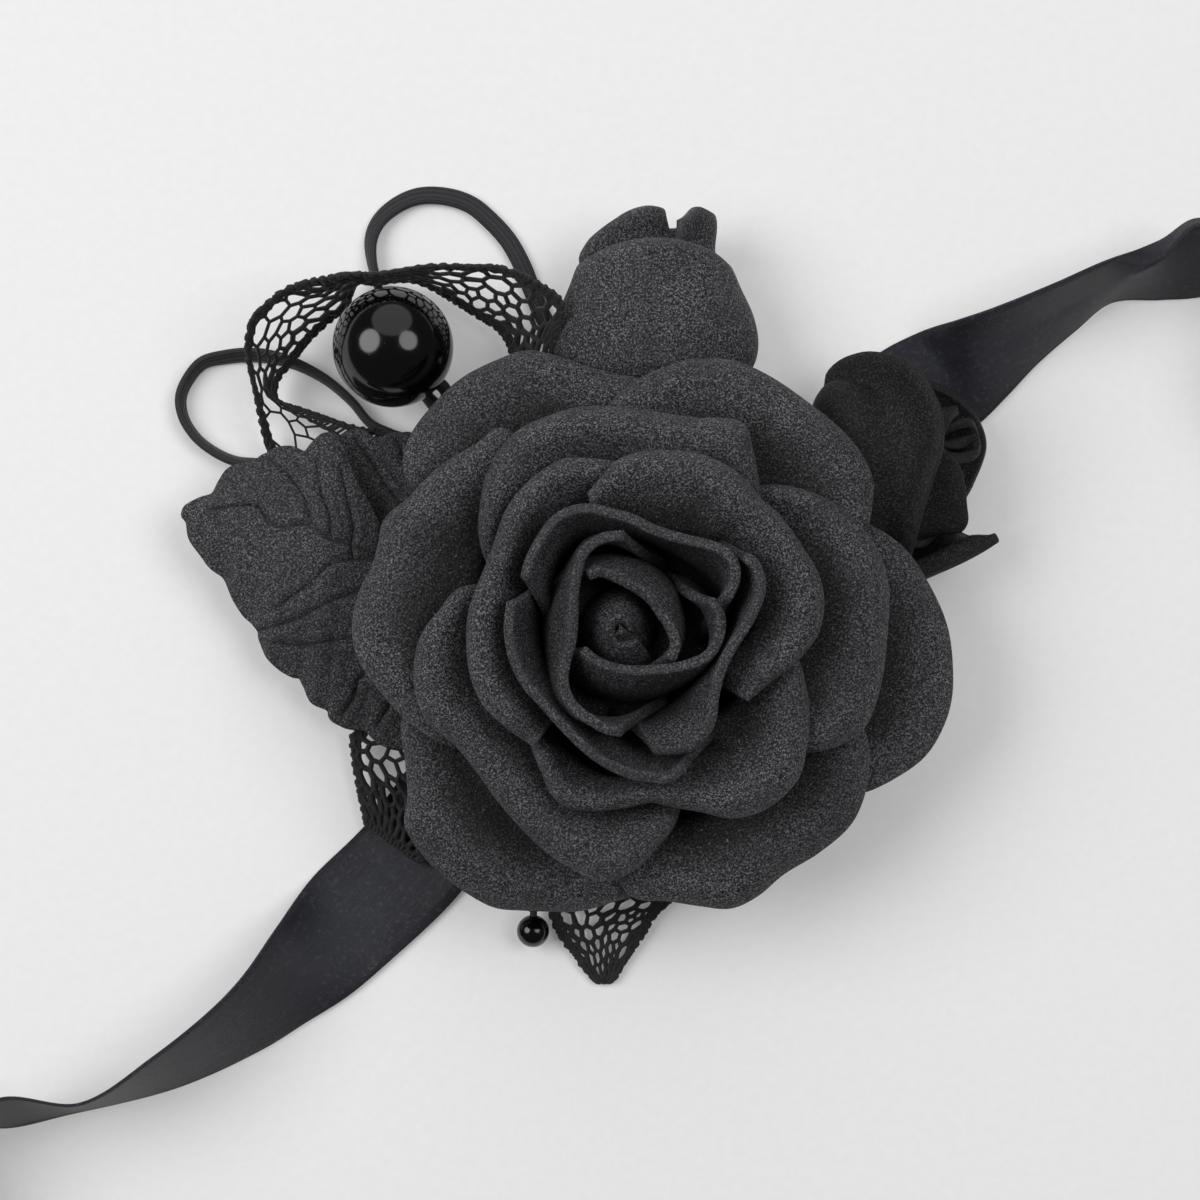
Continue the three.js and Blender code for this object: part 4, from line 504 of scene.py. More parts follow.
def add_mesh(name, form, material):
    """A mesh object from a form in millimetres, smooth, at the origin."""
    vertices, faces, places, nearness = form
    mesh = bpy.data.meshes.new(name)
    faces = faces.tolist() if isinstance(faces, np.ndarray) else faces
    mesh.from_pydata((np.asarray(vertices) * MM).tolist(), [], faces)
    mesh.polygons.foreach_set("use_smooth", [True] * len(mesh.polygons))
    if places is not None:
        layer = mesh.uv_layers.new(name="Surface")
        corners = np.zeros(len(mesh.loops), np.int32)
        mesh.loops.foreach_get("vertex_index", corners)
        layer.data.foreach_set("uv", (np.asarray(places)[corners] * MM * 100).ravel())
    if nearness is not None:
        add_attribute(mesh, "rim", nearness)
    mesh.materials.append(material)
    mesh.update()
    return linked(name, mesh)


def dress(piece, body, slot, *nodes):
    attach(piece, body)
    if nodes:
        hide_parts(*nodes)
    return piece


def add_piece(name, form, finish, body, slot, *nodes):
    """A piece of the object, in a finish, that rides on a body and stands for the nodes."""
    return dress(add_mesh(name, form, finish_of(finish)), body, slot, *nodes)


def ripple(grid, size, pitch, seed):
    """A gentle unevenness along the sheet's own normals, kept off its first row."""
    normal = normals_of(grid)
    rows = grid.shape[1]
    lift = np.array([[noise.noise(Vector(p) / pitch + Vector((seed, 0, 0))) for p in row] for row in grid])
    return grid + normal * (lift * size)[:, :, None] * np.linspace(0, 1, rows)[None, :, None]


def rim_stations(rim, crown, count):
    line = sampled_curve([from_grid(right, back, crown) for right, back in rim], count)
    return np.unwrap(np.arctan2(line[:, 1], line[:, 0])), np.hypot(line[:, 0], line[:, 1])


def heart_hull():
    """The outermost heart rim on each bearing, smoothed, which the walls of the open petals follow."""
    slots = 72
    raw = np.zeros(slots)
    for _, _, steps, crown, _, _, _, rim in PETALS:
        if not steps:
            for bearing, reach in zip(*rim_stations(rim, crown * ROSE_HEIGHT, 60)):
                slot = int((bearing / (2 * math.pi)) % 1 * slots)
                raw[slot] = max(raw[slot], reach)
    for slot in range(slots - 1, -slots, -1):
        if raw[slot % slots] == 0:
            raw[slot % slots] = raw[(slot + 1) % slots]
    around = np.stack([np.roll(raw, k) for k in range(-3, 4)])
    return np.maximum(around.mean(0), around.max(0) - FOAM_SPACING / 4)


HULL = heart_hull()


def hull_reach(bearing):
    place = (bearing / (2 * math.pi)) % 1 * len(HULL) - 0.5
    low = math.floor(place)
    share = place - low
    return HULL[low % len(HULL)] * (1 - share) + HULL[(low + 1) % len(HULL)] * share


def tuck_at(start, end, along, low, high):
    return start * (1 - smooth_step(low, high, along)) + end * (1 - smooth_step(low, high, 1 - along))


def petal_section(rank, wall, rim, crown, drop, rows):
    """An open petal's section on one bearing: floor from the core, wall, and lip."""
    start = CORE_RADIUS + SEAT_GAP
    floor = BOTTOM_FLOOR + (LAST_RANK - rank) * FOAM_SPACING
    corner = min(BOWL_CORNER, (wall - start) / 2)
    floor_end = wall - corner
    wall_foot = floor + FLOOR_SLOPE * (wall - start) + corner
    points = [(start, floor),
              ((start + floor_end) / 2, floor + FLOOR_SLOPE * (floor_end - start) / 2),
              (floor_end, floor + FLOOR_SLOPE * (floor_end - start)),
              (wall, wall_foot)]
    points += [(wall + out * (rim - wall), wall_foot + up * (crown - wall_foot)) for out, up in LIP]
    return sampled_curve(points + [(rim, crown - drop)], rows)


def heart_section(rank, rim, crown, lean, rows):
    """A heart petal's section on one bearing: floor from the core, and a wall that flares or bellies."""
    start = CORE_RADIUS + SEAT_GAP
    floor = BOTTOM_FLOOR + (LAST_RANK - rank) * FOAM_SPACING
    deep = min(HEART_WALL_DEPTH, (crown - floor) * 0.75)

    def wall_at(depth):
        return max(rim - lean * (1 - (1 - depth / deep) ** 2), start + 1)

    foot = wall_at(deep)
    corner = min(BOWL_CORNER, (foot - start) * 0.6)
    points = [(start, floor), (foot - corner, floor + FLOOR_SLOPE * (foot - corner - start))]
    points += [(wall_at(deep * share), crown - deep * share) for share in (1, 0.72, 0.45, 0.22, 0)]
    return sampled_curve(points, rows)


def petal_grid(petal, columns, rows):
    name, rank, steps, crown_share, drop_share, start_tuck, end_tuck, rim_places = petal
    top = crown_share * ROSE_HEIGHT
    bearings, reaches = rim_stations(rim_places, top, columns)
    if not steps:
        leans, spread = HEART_LEANS[name]
        leans = uniform_curve(leans, columns)
        middle = (bearings[0] + bearings[-1]) / 2
    grid = []
    for i, (bearing, reach) in enumerate(zip(bearings, reaches)):
        turned = bearing
        if steps:
            along = i / columns
            tuck = tuck_at(start_tuck, end_tuck, along, *TUCK_SHARES)
            wall = hull_reach(bearing) + (steps - WALL_INSET + tuck) * FOAM_SPACING
            wall = min(wall, reach - LEAST_FLARE)
            rounding = math.sin(math.pi * min(max(along, 0.01), 0.99)) ** 0.6
            fall = END_FALL * (1 - smooth_step(0, END_SHARE, min(along, 1 - along)))
            section = petal_section(rank, wall, reach, top - tuck * FOAM_SPACING - fall,
                                    drop_share * LIP_DROP * rounding, rows)
        else:
            section = heart_section(rank, reach, top, leans[i], rows)
            depth = np.clip((top - section[:, 1]) / SPREAD_DEPTH, 0, 1)
            turned = bearing + (bearing - middle) * spread * depth**1.3
        out, up = section.T
        grid.append(np.column_stack([out * np.cos(turned), out * np.sin(turned), up]))
    return np.array(grid)


class Bud:
    """A bud's shells, roll and stem, set out round its own axis."""

    def __init__(self, name, stem_degrees, length, squash, base, mouth, rise, girth, roll, shells):
        self.name, self.stem_degrees, self.length, self.squash = name, stem_degrees, length, squash
        self.girth, self.roll, self.shells = uniform_curve(girth, 60), roll, shells
        self.base = from_grid(*base, BUD_HEIGHT)
        self.axis = from_grid(*mouth, BUD_HEIGHT + rise) - self.base
        self.axis /= np.linalg.norm(self.axis)
        self.up = np.array([0, 0, 1]) - self.axis * self.axis[2]
        self.up /= np.linalg.norm(self.up)
        self.side = np.cross(self.up, self.axis)

    def point(self, height, across, above):
        return self.base + self.axis * height + self.side * across + self.up * above

    def shell_grid(self, shell, columns, rows):
        _, base_layer, start, end, start_tuck, end_tuck, foot_share, flares, rim_heights = shell
        rim, flares = uniform_curve(rim_heights, columns), uniform_curve(flares, columns)
        narrow = BUD_STEM_RADIUS + 2 * SEAT_GAP
        grid = []
        for i in range(columns + 1):
            along = i / columns
            bearing = math.radians(start + (end - start) * along)
            layer = base_layer + tuck_at(start_tuck, end_tuck, along, *BUD_TUCK_SHARES)
            closed = max(layer, 0) * FOAM_SPACING * 1.1
            foot = max(closed, foot_share * self.length)
            share = np.linspace(0, 1, rows + 1)
            height = foot + (rim[i] * self.length - foot) * share
            closing = np.minimum((height - closed) / BUD_SHOULDER, 1)
            opened = np.sqrt(1 - (1 - closing) ** 2)
            belly = np.interp(height / self.length, np.linspace(0, 1, len(self.girth)), self.girth)
            neck = np.exp(-((share - NECK_SHARE) / NECK_WIDTH) ** 2)
            curl = smooth_step(CURL_START, 1, share) ** 2 - NECK_DEPTH * neck
            wide = [narrow + (size * belly - layer * FOAM_SPACING - narrow) * opened
                    + flares[i] * FOAM_SPACING * curl for size in (BUD_RADIUS, BUD_RADIUS * self.squash)]
            grid.append([self.point(h, x * math.cos(bearing), y * math.sin(bearing))
                         for h, x, y in zip(height, *wide)])
        return np.array(grid)

    def roll_grid(self, columns, rows):
        radius, offset, top, slant, turns = self.roll
        grid = []
        for i in range(columns + 1):
            turned = i / columns * turns
            reach = radius - turned * FOAM_SPACING * BUD_ROLL_PITCH
            bearing = 2 * math.pi * turned
            rim = (top - slant * math.sin(bearing) + 0.02 * math.sin(bearing * 2.3)) * self.length
            grid.append([self.point(h, offset + reach * math.cos(bearing), reach * math.sin(bearing))
                         for h in np.linspace(BUD_ROLL_FOOT * self.length + SEAT_GAP, rim, rows + 1)])
        return np.array(grid)

    def stem_line(self):
        root = polar(self.stem_degrees, DISC_RADIUS + SEAT_GAP, STEM_LIFT)
        entry = self.point(-BUD_SHOULDER, 0, 0)
        middle = (root + entry) / 2
        middle[2] = (2 * root[2] + entry[2]) / 3
        top = self.point(BUD_ROLL_FOOT * self.length, 0, 0)
        return sampled_curve([root, middle, entry, self.base, top], 70)


def uniform_curve(values, count):
    """A Catmull-Rom curve through evenly spaced values."""
    v = np.asarray(values, float)
    padded = np.concatenate([[v[0]], v, [v[-1]]])
    out = []
    for i in range(count + 1):
        place = i / count * (len(v) - 1)
        k = min(int(place), len(v) - 2)
        t = place - k
        a, b, c, d = padded[k:k + 4]
        m1, m2 = (c - a) / 2, (d - b) / 2
        out.append((2 * b - 2 * c + m1 + m2) * t**3 + (3 * c - 3 * b - 2 * m1 - m2) * t * t + m1 * t + b)
    return out


def band_surface(roots, ends, outer, inner):
    """The lace band between its outer and inner edges, as a fine grid."""
    half = math.radians(abs(roots[1] - roots[0]) / 2)
    reach = (DISC_RADIUS + SEAT_GAP) / math.cos(half)
    edges = []
    for k, places in enumerate((outer, inner)):
        points = [polar(roots[k], reach, LACE_LIFT)]
        points += [from_grid(right, back, up * LACE_RISE) for right, back, up in places]
        if ends:
            points.append(polar(ends[k], DISC_RADIUS - LACE_TUCK, RIBBON_MIDDLE))
        edges.append(sampled_curve(points, LACE_ROWS))
    return ruled(*edges, LACE_CELLS)


def on_grid(grid, along, across):
    """Points of a grid at shares along and across it."""
    grid = np.asarray(grid)
    x = np.clip(np.asarray(along), 0, 1) * (grid.shape[0] - 1)
    y = np.clip(np.asarray(across), 0, 1) * (grid.shape[1] - 1)
    i = np.minimum(x.astype(int), grid.shape[0] - 2)
    j = np.minimum(y.astype(int), grid.shape[1] - 2)
    u, v = (x - i)[:, None], (y - j)[:, None]
    return ((grid[i, j] * (1 - u) + grid[i + 1, j] * u) * (1 - v)
            + (grid[i, j + 1] * (1 - u) + grid[i + 1, j + 1] * u) * v)


class Threads:
    """Lines of thread on a lace band, gathered as vertices, edges and thread radii."""

    def __init__(self, grid):
        self.grid = grid
        self.normal = normals_of(grid)
        self.points, self.radii, self.edges = [], [], []

    def add(self, places, radii, lift=0.0):
        """Adds points at shares along and across, and gives the number of the first."""
        places = np.asarray(places, float)
        start = sum(len(p) for p in self.points)
        lifts = np.broadcast_to(lift, len(places))[:, None]
        point = on_grid(self.grid, places[:, 0], places[:, 1])
        self.points.append(point + on_grid(self.normal, places[:, 0], places[:, 1]) * lifts)
        self.radii.append(np.broadcast_to(radii, len(places)).astype(float))
        return start

    def line(self, places, radii, lift=0.0):
        start = self.add(places, radii, lift)
        self.edges += [(start + k, start + k + 1) for k in range(len(places) - 1)]

    def mesh(self, name):
        mesh = bpy.data.meshes.new(name)
        mesh.from_pydata((np.vstack(self.points) * MM).tolist(), self.edges, [])
        add_attribute(mesh, "thread", np.concatenate(self.radii) * MM)
        return mesh


def scattered(rng, length, width, spacing_at, tries):
    """Places no nearer to each other than the spacing there, the first ones along the strip's edges."""
    step = 0.8
    edge = [(x, y) for y in (0, width) for x in np.arange(step / 2, length, step)]
    edge += [(x, y) for x in (0, length) for y in np.arange(0, width + 0.01, step)]
    kept = np.array(edge)
    for x, y in rng.random((tries, 2)) * (length, width):
        apart = np.hypot((kept[:, 0] - x) * 0.8, (kept[:, 1] - y) * 1.2)
        if np.min(apart) > spacing_at(x / length, y / width):
            kept = np.vstack([kept, (x, y)])
    return kept


def add_net(threads, rng, length, width, spacing_at, radius_at, tries):
    """An uneven net whose threads run between the middles of a triangulation's triangles."""
    places = scattered(rng, length, width, spacing_at, tries)
    found = geometry.delaunay_2d_cdt([Vector(p) for p in places.tolist()], [], [], 0, 1e-5)
    corners = np.array([tuple(p) for p in found[0]])
    triangles = [tuple(f) for f in found[2]]
    middles = np.array([corners[list(f)].mean(0) for f in triangles])
    share = middles / (length, width)
    lifts = rng.uniform(-NET_DEPTH, NET_DEPTH, len(share))
    start = threads.add(share, [radius_at(s, t) for s, t in share], lifts)
    sides = {}
    for number, (a, b, c) in enumerate(triangles):
        for pair in ((a, b), (b, c), (c, a)):
            sides.setdefault(tuple(sorted(pair)), []).append(number)
    for (a, b), owners in sides.items():
        if len(owners) == 2:
            threads.edges.append((start + owners[0], start + owners[1]))
        else:
            middle = (corners[a] + corners[b]) / 2 / (length, width)
            end = threads.add([middle], radius_at(*middle))
            threads.edges.append((start + owners[0], end))


class Value:
    """A number socket of a material. Python's operators on it add Math nodes."""

    def __init__(self, finish, socket):
        self.finish, self.socket = finish, socket

    def __add__(self, other):
        return self.finish.math("ADD", self, other)

    def __sub__(self, other):
        return self.finish.math("SUBTRACT", self, other)

    def __rsub__(self, other):
        return self.finish.math("SUBTRACT", other, self)

    def __mul__(self, other):
        return self.finish.math("MULTIPLY", self, other)

    __radd__, __rmul__ = __add__, __mul__


def add_node(tree, kind, settings=None, inputs=None):
    """Adds a node: its settings first, then the values or links of its sockets."""
    made = tree.nodes.new(kind)
    for key, value in (settings or {}).items():
        setattr(made, key, value)
    for key, value in (inputs or {}).items():
        value = value.socket if isinstance(value, Value) else value
        if isinstance(value, bpy.types.NodeSocket):
            tree.links.new(value, made.inputs[key])
        else:
            made.inputs[key].default_value = value
    return made


def thread_tree():
    """A node tree that turns edges into round threads, with a knot where they meet."""
    tree = bpy.data.node_groups.get("Threads along edges")
    if tree:
        return tree
    tree = bpy.data.node_groups.new("Threads along edges", "GeometryNodeTree")
    tree.is_modifier = True
    for name, kind, default in (
            ("Geometry", "Geometry", None), ("Thickness", "Float", 1), ("Sides", "Int", 6),
            ("Knot size", "Float", 1.1), ("Material", "Material", None)):
        socket = tree.interface.new_socket(name, in_out="INPUT", socket_type="NodeSocket" + kind)
        if default:
            socket.default_value = default
    tree.interface.new_socket("Geometry", in_out="OUTPUT", socket_type="NodeSocketGeometry")

    def node(kind, settings=None, **inputs):
        return add_node(tree, kind, settings, {key.replace("_", " "): v for key, v in inputs.items()}).outputs

    def product(first, second):
        return add_node(tree, "ShaderNodeMath", {"operation": "MULTIPLY"}, {0: first, 1: second}).outputs[0]

    given = node("NodeGroupInput")
    thread = node("GeometryNodeInputNamedAttribute", {"data_type": "FLOAT"}, Name="thread")["Attribute"]
    radius = product(thread, given["Thickness"])
    curve = node("GeometryNodeMeshToCurve", Mesh=given["Geometry"])["Curve"]
    ring = node("GeometryNodeCurvePrimitiveCircle", Radius=1, Resolution=given["Sides"])["Curve"]
    tubes = node("GeometryNodeCurveToMesh", Fill_Caps=True, Curve=curve, Profile_Curve=ring, Scale=radius)
    ball = node("GeometryNodeMeshIcoSphere", Radius=1, Subdivisions=1)["Mesh"]
    knots = node("GeometryNodeInstanceOnPoints", Points=given["Geometry"], Instance=ball,
                 Scale=product(radius, given["Knot size"]))
    both = add_node(tree, "GeometryNodeJoinGeometry", None, {0: tubes["Mesh"]})
    tree.links.new(knots["Instances"], both.inputs[0])
    real = node("GeometryNodeRealizeInstances", Geometry=both.outputs[0])[0]
    smooth = node("GeometryNodeSetShadeSmooth", Geometry=real)[0]
    finished = node("GeometryNodeSetMaterial", Geometry=smooth, Material=given["Material"])[0]
    node("NodeGroupOutput", Geometry=finished)
    return tree


def threaded(name, edges):
    """A piece of lace made by the thread tree from a mesh of edges, as a plain mesh."""
    piece = linked(name, edges)
    modifier = piece.modifiers.new("Threads", "NODES")
    modifier.node_group = thread_tree()
    for item in modifier.node_group.interface.items_tree:
        if item.in_out == "INPUT" and item.name == "Material":
            modifier[item.identifier] = finish_of("Lace")
    bpy.context.view_layer.update()
    whole = piece.evaluated_get(bpy.context.evaluated_depsgraph_get())
    plain = bpy.data.meshes.new_from_object(whole)
    piece.modifiers.remove(modifier)
    piece.data = plain
    bpy.data.meshes.remove(edges)
    plain.name = name
    return piece


class Finish:
    """A procedural material in the making, of shades of one colour."""

    def __init__(self, name, colour=(1, 1, 1)):
        self.material = bpy.data.materials.new(name)
        self.material.use_nodes = True
        self.tree, self.colour = self.material.node_tree, colour
        self.tree.nodes.clear()

    def node(self, kind, settings=None, inputs=None):
        """Adds a node, and gives its outputs."""
        return add_node(self.tree, kind, settings, inputs).outputs

    def math(self, operation, *values):
        return Value(self, self.node("ShaderNodeMath", {"operation": operation}, dict(enumerate(values)))[0])

    def wave(self, value, pitch):
        return self.math("SINE", value * (2 * math.pi / pitch))

    def surface(self):
        return self.node("ShaderNodeUVMap", {"uv_map": "Surface"})[0]

    def solid(self):
        return self.node("ShaderNodeTexCoord")["Object"]

    def place(self):
        """Place along and across the surface, in centimetres, from the piece's own UV map."""
        split = self.node("ShaderNodeSeparateXYZ", None, {0: self.surface()})
        return Value(self, split[0]), Value(self, split[1])

    def attribute(self, name):
        return Value(self, self.node("ShaderNodeAttribute", {"attribute_name": name})["Fac"])

    def noise(self, scale, detail, roughness, vector=None):
        inputs = {"Vector": vector or self.solid(), "Scale": scale, "Detail": detail, "Roughness": roughness}
        return Value(self, self.node("ShaderNodeTexNoise", None, inputs)["Fac"])

    def stretched(self, vector, scale):
        return self.node("ShaderNodeMapping", None, {"Vector": vector, "Scale": scale})[0]

    def ranged(self, value, low, high):
        return Value(self, self.node("ShaderNodeMapRange", {"interpolation_type": "SMOOTHSTEP"},
                                     {0: value, 1: low, 2: high})[0])

    def mix(self, factor, first, second):
        return self.node("ShaderNodeMix", {"data_type": "RGBA"}, {0: factor, 6: first, 7: second})[2]

    def shades(self, factor, first, second):
        """Goes from one shade of the finish's colour to another."""
        return self.mix(factor, shade(self.colour, first), shade(self.colour, second))

    def laid(self, base, factor, second):
        """Lays another shade of the finish's colour over the base."""
        return self.mix(factor, base, shade(self.colour, second))

    def bump(self, height, distance, strength):
        inputs = {"Strength": strength, "Distance": distance, "Height": height}
        return self.node("ShaderNodeBump", None, inputs)[0]

    def done(self, **inputs):
        """Ends the material in a Principled shader, with underscores for spaces in its sockets' names."""
        named = {key.replace("_", " "): v for key, v in inputs.items()}
        return self.ended(self.node("ShaderNodeBsdfPrincipled", None, named)[0])

    def ended(self, shader):
        self.node("ShaderNodeOutputMaterial", None, {"Surface": shader})
        return self.material


def shade(colour, factor):
    """A linear colour made lighter or darker, with its alpha."""
    return (*(min(c * factor, 1) for c in colour[:3]), 1)


def foam_finish(name, colour, grain=1.0, painted_crease_shade=False, painted_hollow_shade=0.0, rim=0.5):
    """Craft foam sheet: fine light and dark grain with a dull shine and cloudy patches; its rims are painted
    paler as a highlight, painted shade darkens it away from the rim deep in the hollows, and on leaves painted
    shade darkens the creases.
    """
    f = Finish(name, colour)
    fleck = f.noise(4900, 2.5, 0.8)
    tone = f.ranged(fleck, 0.48, 0.68)
    base = f.shades(f.ranged(fleck, 0.37, 0.48), 1 - 0.97 * grain, 1 - 0.3 * grain)
    base = f.laid(base, tone, 1 + 5 * grain)
    base = f.laid(base, f.ranged(f.noise(160, 3, 0.55), 0.35, 0.7) * 0.35, 0.55)
    if painted_crease_shade:
        # painted shade: the colour is darker in the pressed creases
        base = f.laid(base, f.attribute("crease") * 0.75, 0.35)
    else:
        # painted highlight: the colour is made paler near the rims
        base = f.laid(base, f.attribute("rim") * rim, 2.4)
    # painted shade: darker away from the rim, towards the heart, where the hollows between petals lie in shade
    if painted_hollow_shade:
        base = f.laid(base, f.ranged(f.place()[1], 0.2, 0.8) * painted_hollow_shade, 0.1)
    base = f.laid(base, f.ranged(f.noise(3600, 1, 0.4), 0.72, 0.78) * 0.7, 7)
    height = fleck + f.noise(1500, 2, 0.5) * 0.5
    return f.done(Base_Color=base, Roughness=0.6 - tone * 0.2, Normal=f.bump(height, 0.00016, 0.95),
                  Specular_IOR_Level=0.2)


def satin_finish(name, colour):
    """Satin: warp threads side by side, a soft sheen in streaks that is also painted lighter into the colour,
    painted shade along both edges, painted glints on small dents, and a ribbed selvedge.
    """
    f = Finish(name, colour)
    along, across = f.place()
    streak = f.noise(9, 3, 0.6, f.stretched(f.surface(), (0.35, 14, 1)))
    dents_and_glints = f.noise(1700, 2.5, 0.65)
    edge = f.math("MINIMUM", across, RIBBON_WIDTH / 10 - across)
    selvedge = 1 - f.ranged(edge, 0.035, 0.06)
    # painted sheen: the streaks make the colour lighter and darker
    base = f.shades(f.ranged(streak, 0.3, 0.75), 0.75, 1.35)
    # painted shade: the colour is darker towards both edges
    base = f.laid(base, (1 - f.ranged(edge, 0.02, 0.42)) * 0.6, 0.35)
    base = f.laid(base, selvedge * 0.3, 1.3)
    # painted glints: bright specks on the small dents, which also give the bump
    base = f.laid(base, f.ranged(dents_and_glints, 0.54, 0.7) * 0.6, 2.6)
    base = f.laid(base, f.ranged(f.noise(70, 2, 0.5), 0.45, 0.7) * 0.45, 0.55)
    warp, weft = f.wave(across, WARP_PITCH), f.wave(along, WEFT_PITCH)
    height = warp * 0.5 + weft * (selvedge * 1.2 + 0.12) + streak * 1.5 + dents_and_glints * 2
    return f.done(Base_Color=base, Roughness=streak * 0.12 + selvedge * 0.2 + 0.38,
                  Normal=f.bump(height, 0.00006, 0.5), Sheen_Weight=0.09, Sheen_Roughness=0.35,
                  Sheen_Tint=(0.8, 0.75, 0.7, 1), Specular_IOR_Level=0.35)


def thread_finish(name, colour):
    """Lace thread: twisted and slightly fuzzy."""
    f = Finish(name, colour)
    fibre = f.noise(5200, 2, 0.6)
    base = f.shades(f.ranged(fibre, 0.35, 0.7), 0.6, 1.9)
    base = f.laid(base, f.ranged(f.noise(700, 2, 0.5), 0.45, 0.7) * 0.4, 2.4)
    return f.done(Base_Color=base, Roughness=fibre * 0.2 + 0.62, Normal=f.bump(fibre, 0.00006, 0.7),
                  Sheen_Weight=0.15, Sheen_Roughness=0.5)


def cord_finish(name, colour):
    """Flat narrow cord: fine ribs along it, crossed by a soft weave."""
    f = Finish(name, colour)
    along, around = f.place()
    rib = f.math("SINE", around * (10 * CORD_RIBS))
    weave = f.math("SINE", along * (2 * math.pi / CORD_WEAVE_PITCH) + rib * 0.8)
    fuzz = f.noise(2500, 2, 0.6)
    base = f.shades(f.ranged(rib * 0.35 + fuzz, 0.2, 0.9), 0.7, 1.35)
    return f.done(Base_Color=base, Roughness=fuzz * 0.2 + 0.5, Sheen_Weight=0.08, Sheen_Roughness=0.4,
                  Normal=f.bump(rib * 0.6 + weave * 0.4 + fuzz, 0.00005, 0.6), Specular_IOR_Level=0.3)


def felt_finish(name, colour):
    """Felt: short matted fibres in all directions."""
    f = Finish(name, colour)
    one = f.noise(1400, 3, 0.65, f.stretched(f.solid(), (1, 0.25, 1)))
    two = f.noise(1500, 3, 0.65, f.stretched(f.solid(), (0.25, 1, 1)))
    fibre = (one + two) * 0.5
    return f.done(Base_Color=f.shades(f.ranged(fibre, 0.4, 0.62), 0.55, 1.9), Roughness=0.95,
                  Normal=f.bump(fibre, 0.0002, 0.7), Sheen_Weight=0.3)


def bead_finish(name, colour):
    """Polished bead: near black under a soft gloss, with faint dust and handling marks."""
    f = Finish(name, colour)
    dust = f.ranged(f.noise(2600, 1, 0.5), 0.72, 0.8)
    haze = f.ranged(f.noise(320, 4, 0.7), 0.35, 0.8)
    return f.done(Base_Color=f.shades(dust * 0.3, 1, 8), Roughness=haze * 0.06 + dust * 0.3 + 0.1,
                  Normal=f.bump(f.noise(90, 1, 0.5), 0.00004, 0.15), Specular_IOR_Level=0.55)


def tape_finish(name, colour):
    """Stem tape: crinkled paper wound round the wire."""
    f = Finish(name, colour)
    crinkle = f.noise(900, 3, 0.6, f.stretched(f.solid(), (1, 1, 0.4)))
    return f.done(Base_Color=f.shades(f.ranged(crinkle, 0.35, 0.65), 0.6, 1.7),
                  Roughness=crinkle * 0.2 + 0.6, Normal=f.bump(crinkle, 0.0001, 0.6))


def floor_finish():
    """Pale matt floor with a glow that only the camera and reflections see, so that the shadow stays."""
    f = Finish("Pale floor")
    colour = f.mix(f.ranged(f.noise(900, 2, 0.5), 0.3, 0.7), (0.82, 0.82, 0.82, 1), (0.84, 0.84, 0.837, 1))
    matt = f.node("ShaderNodeBsdfDiffuse", None, {"Color": colour})[0]
    glow = f.node("ShaderNodeEmission", None, {"Color": (1, 1, 1, 1), "Strength": 0.14})[0]
    lit = f.node("ShaderNodeAddShader", None, {0: matt, 1: glow})[0]
    ray = f.node("ShaderNodeLightPath")
    seen = f.math("MAXIMUM", ray["Is Camera Ray"], ray["Is Glossy Ray"])
    seen = f.math("MAXIMUM", seen, ray["Is Transmission Ray"])
    return f.ended(f.node("ShaderNodeMixShader", None, {0: seen, 1: matt, 2: lit})[0])


def length_property(name, description, default, low=0.0):
    return bpy.props.FloatProperty(name=name, description=description, default=default, min=low,
                                   subtype="DISTANCE", unit="LENGTH", precision=5)


def power_property(name, description, default):
    return bpy.props.FloatProperty(name=name, description=description, default=default, min=0, unit="POWER")


def colour_property(name, description, default):
    return bpy.props.FloatVectorProperty(name=name, description=description, default=default, size=3,
                                         min=0, max=1, subtype="COLOR")


class CorsageFlower(bpy.types.PropertyGroup):
    """Sizes and colours of the foam pieces, the leaves and the stems."""

    foam_thickness: length_property("Foam thickness", "Thickness of the foam sheet",
                                    FOAM_THICKNESS * MM, 0.0002)
    unevenness: length_property("Unevenness", "How far a petal waves out of its smooth form", 0.00028)
    foam_colour: colour_property("Foam", "Colour of the petals", (0.043, 0.0432, 0.0465))
    leaf_colour: colour_property("Leaf", "Colour of the leaves", (0.0445, 0.0447, 0.048))
    crease_depth: length_property("Crease depth", "Depth of the lines pressed into a leaf", 0.00028)
    tape_colour: colour_property("Tape", "Colour of the taped stems", (0.018, 0.018, 0.018))
    felt_colour: colour_property("Felt", "Colour of the backing pad", (0.018, 0.018, 0.02))
    bead_colour: colour_property("Beads", "Colour of the beads", (0.0018, 0.0018, 0.0026))


class CorsageTrim(bpy.types.PropertyGroup):
    """Sizes and colours of the lace, the cords and the wrist ribbon."""

    satin_thickness: length_property("Satin thickness", "Thickness of the wrist ribbon", 0.00032, 0.0001)
    satin_colour: colour_property("Satin", "Colour of the wrist ribbon", (0.0235, 0.0245, 0.0345))
    net_spacing: length_property("Net spacing", "Usual width of an opening in the lace", 0.0015, 0.0008)
    thread_thickness: length_property("Thread", "Thickness of a lace thread", 0.00044, 0.0001)
    lace_colour: colour_property("Lace", "Colour of the lace", (0.0065, 0.0065, 0.008))
    cord_width: length_property("Cord width", "Width of the flat cord", 0.002, 0.0008)
    cord_thickness: length_property("Cord thickness", "Thickness of the flat cord", 0.0009, 0.0003)
    cord_colour: colour_property("Cord", "Colour of the cord", (0.0275, 0.0275, 0.031))


class CorsageStage(bpy.types.PropertyGroup):
    """Light and floor."""

    left_power: power_property("Left light", "Power of the left light", 2.56)
    right_power: power_property("Right light", "Power of the right light", 2.08)
    back_power: power_property("Back light", "Power of the large light at the back", 3.2)
    room_light: bpy.props.FloatProperty(name="Room light", description="Strength of the light from all round",
                                        default=0.08, min=0, max=1, subtype="FACTOR")
    floor_size: length_property("Floor size", "Width of the floor", 6.0, 1.0)


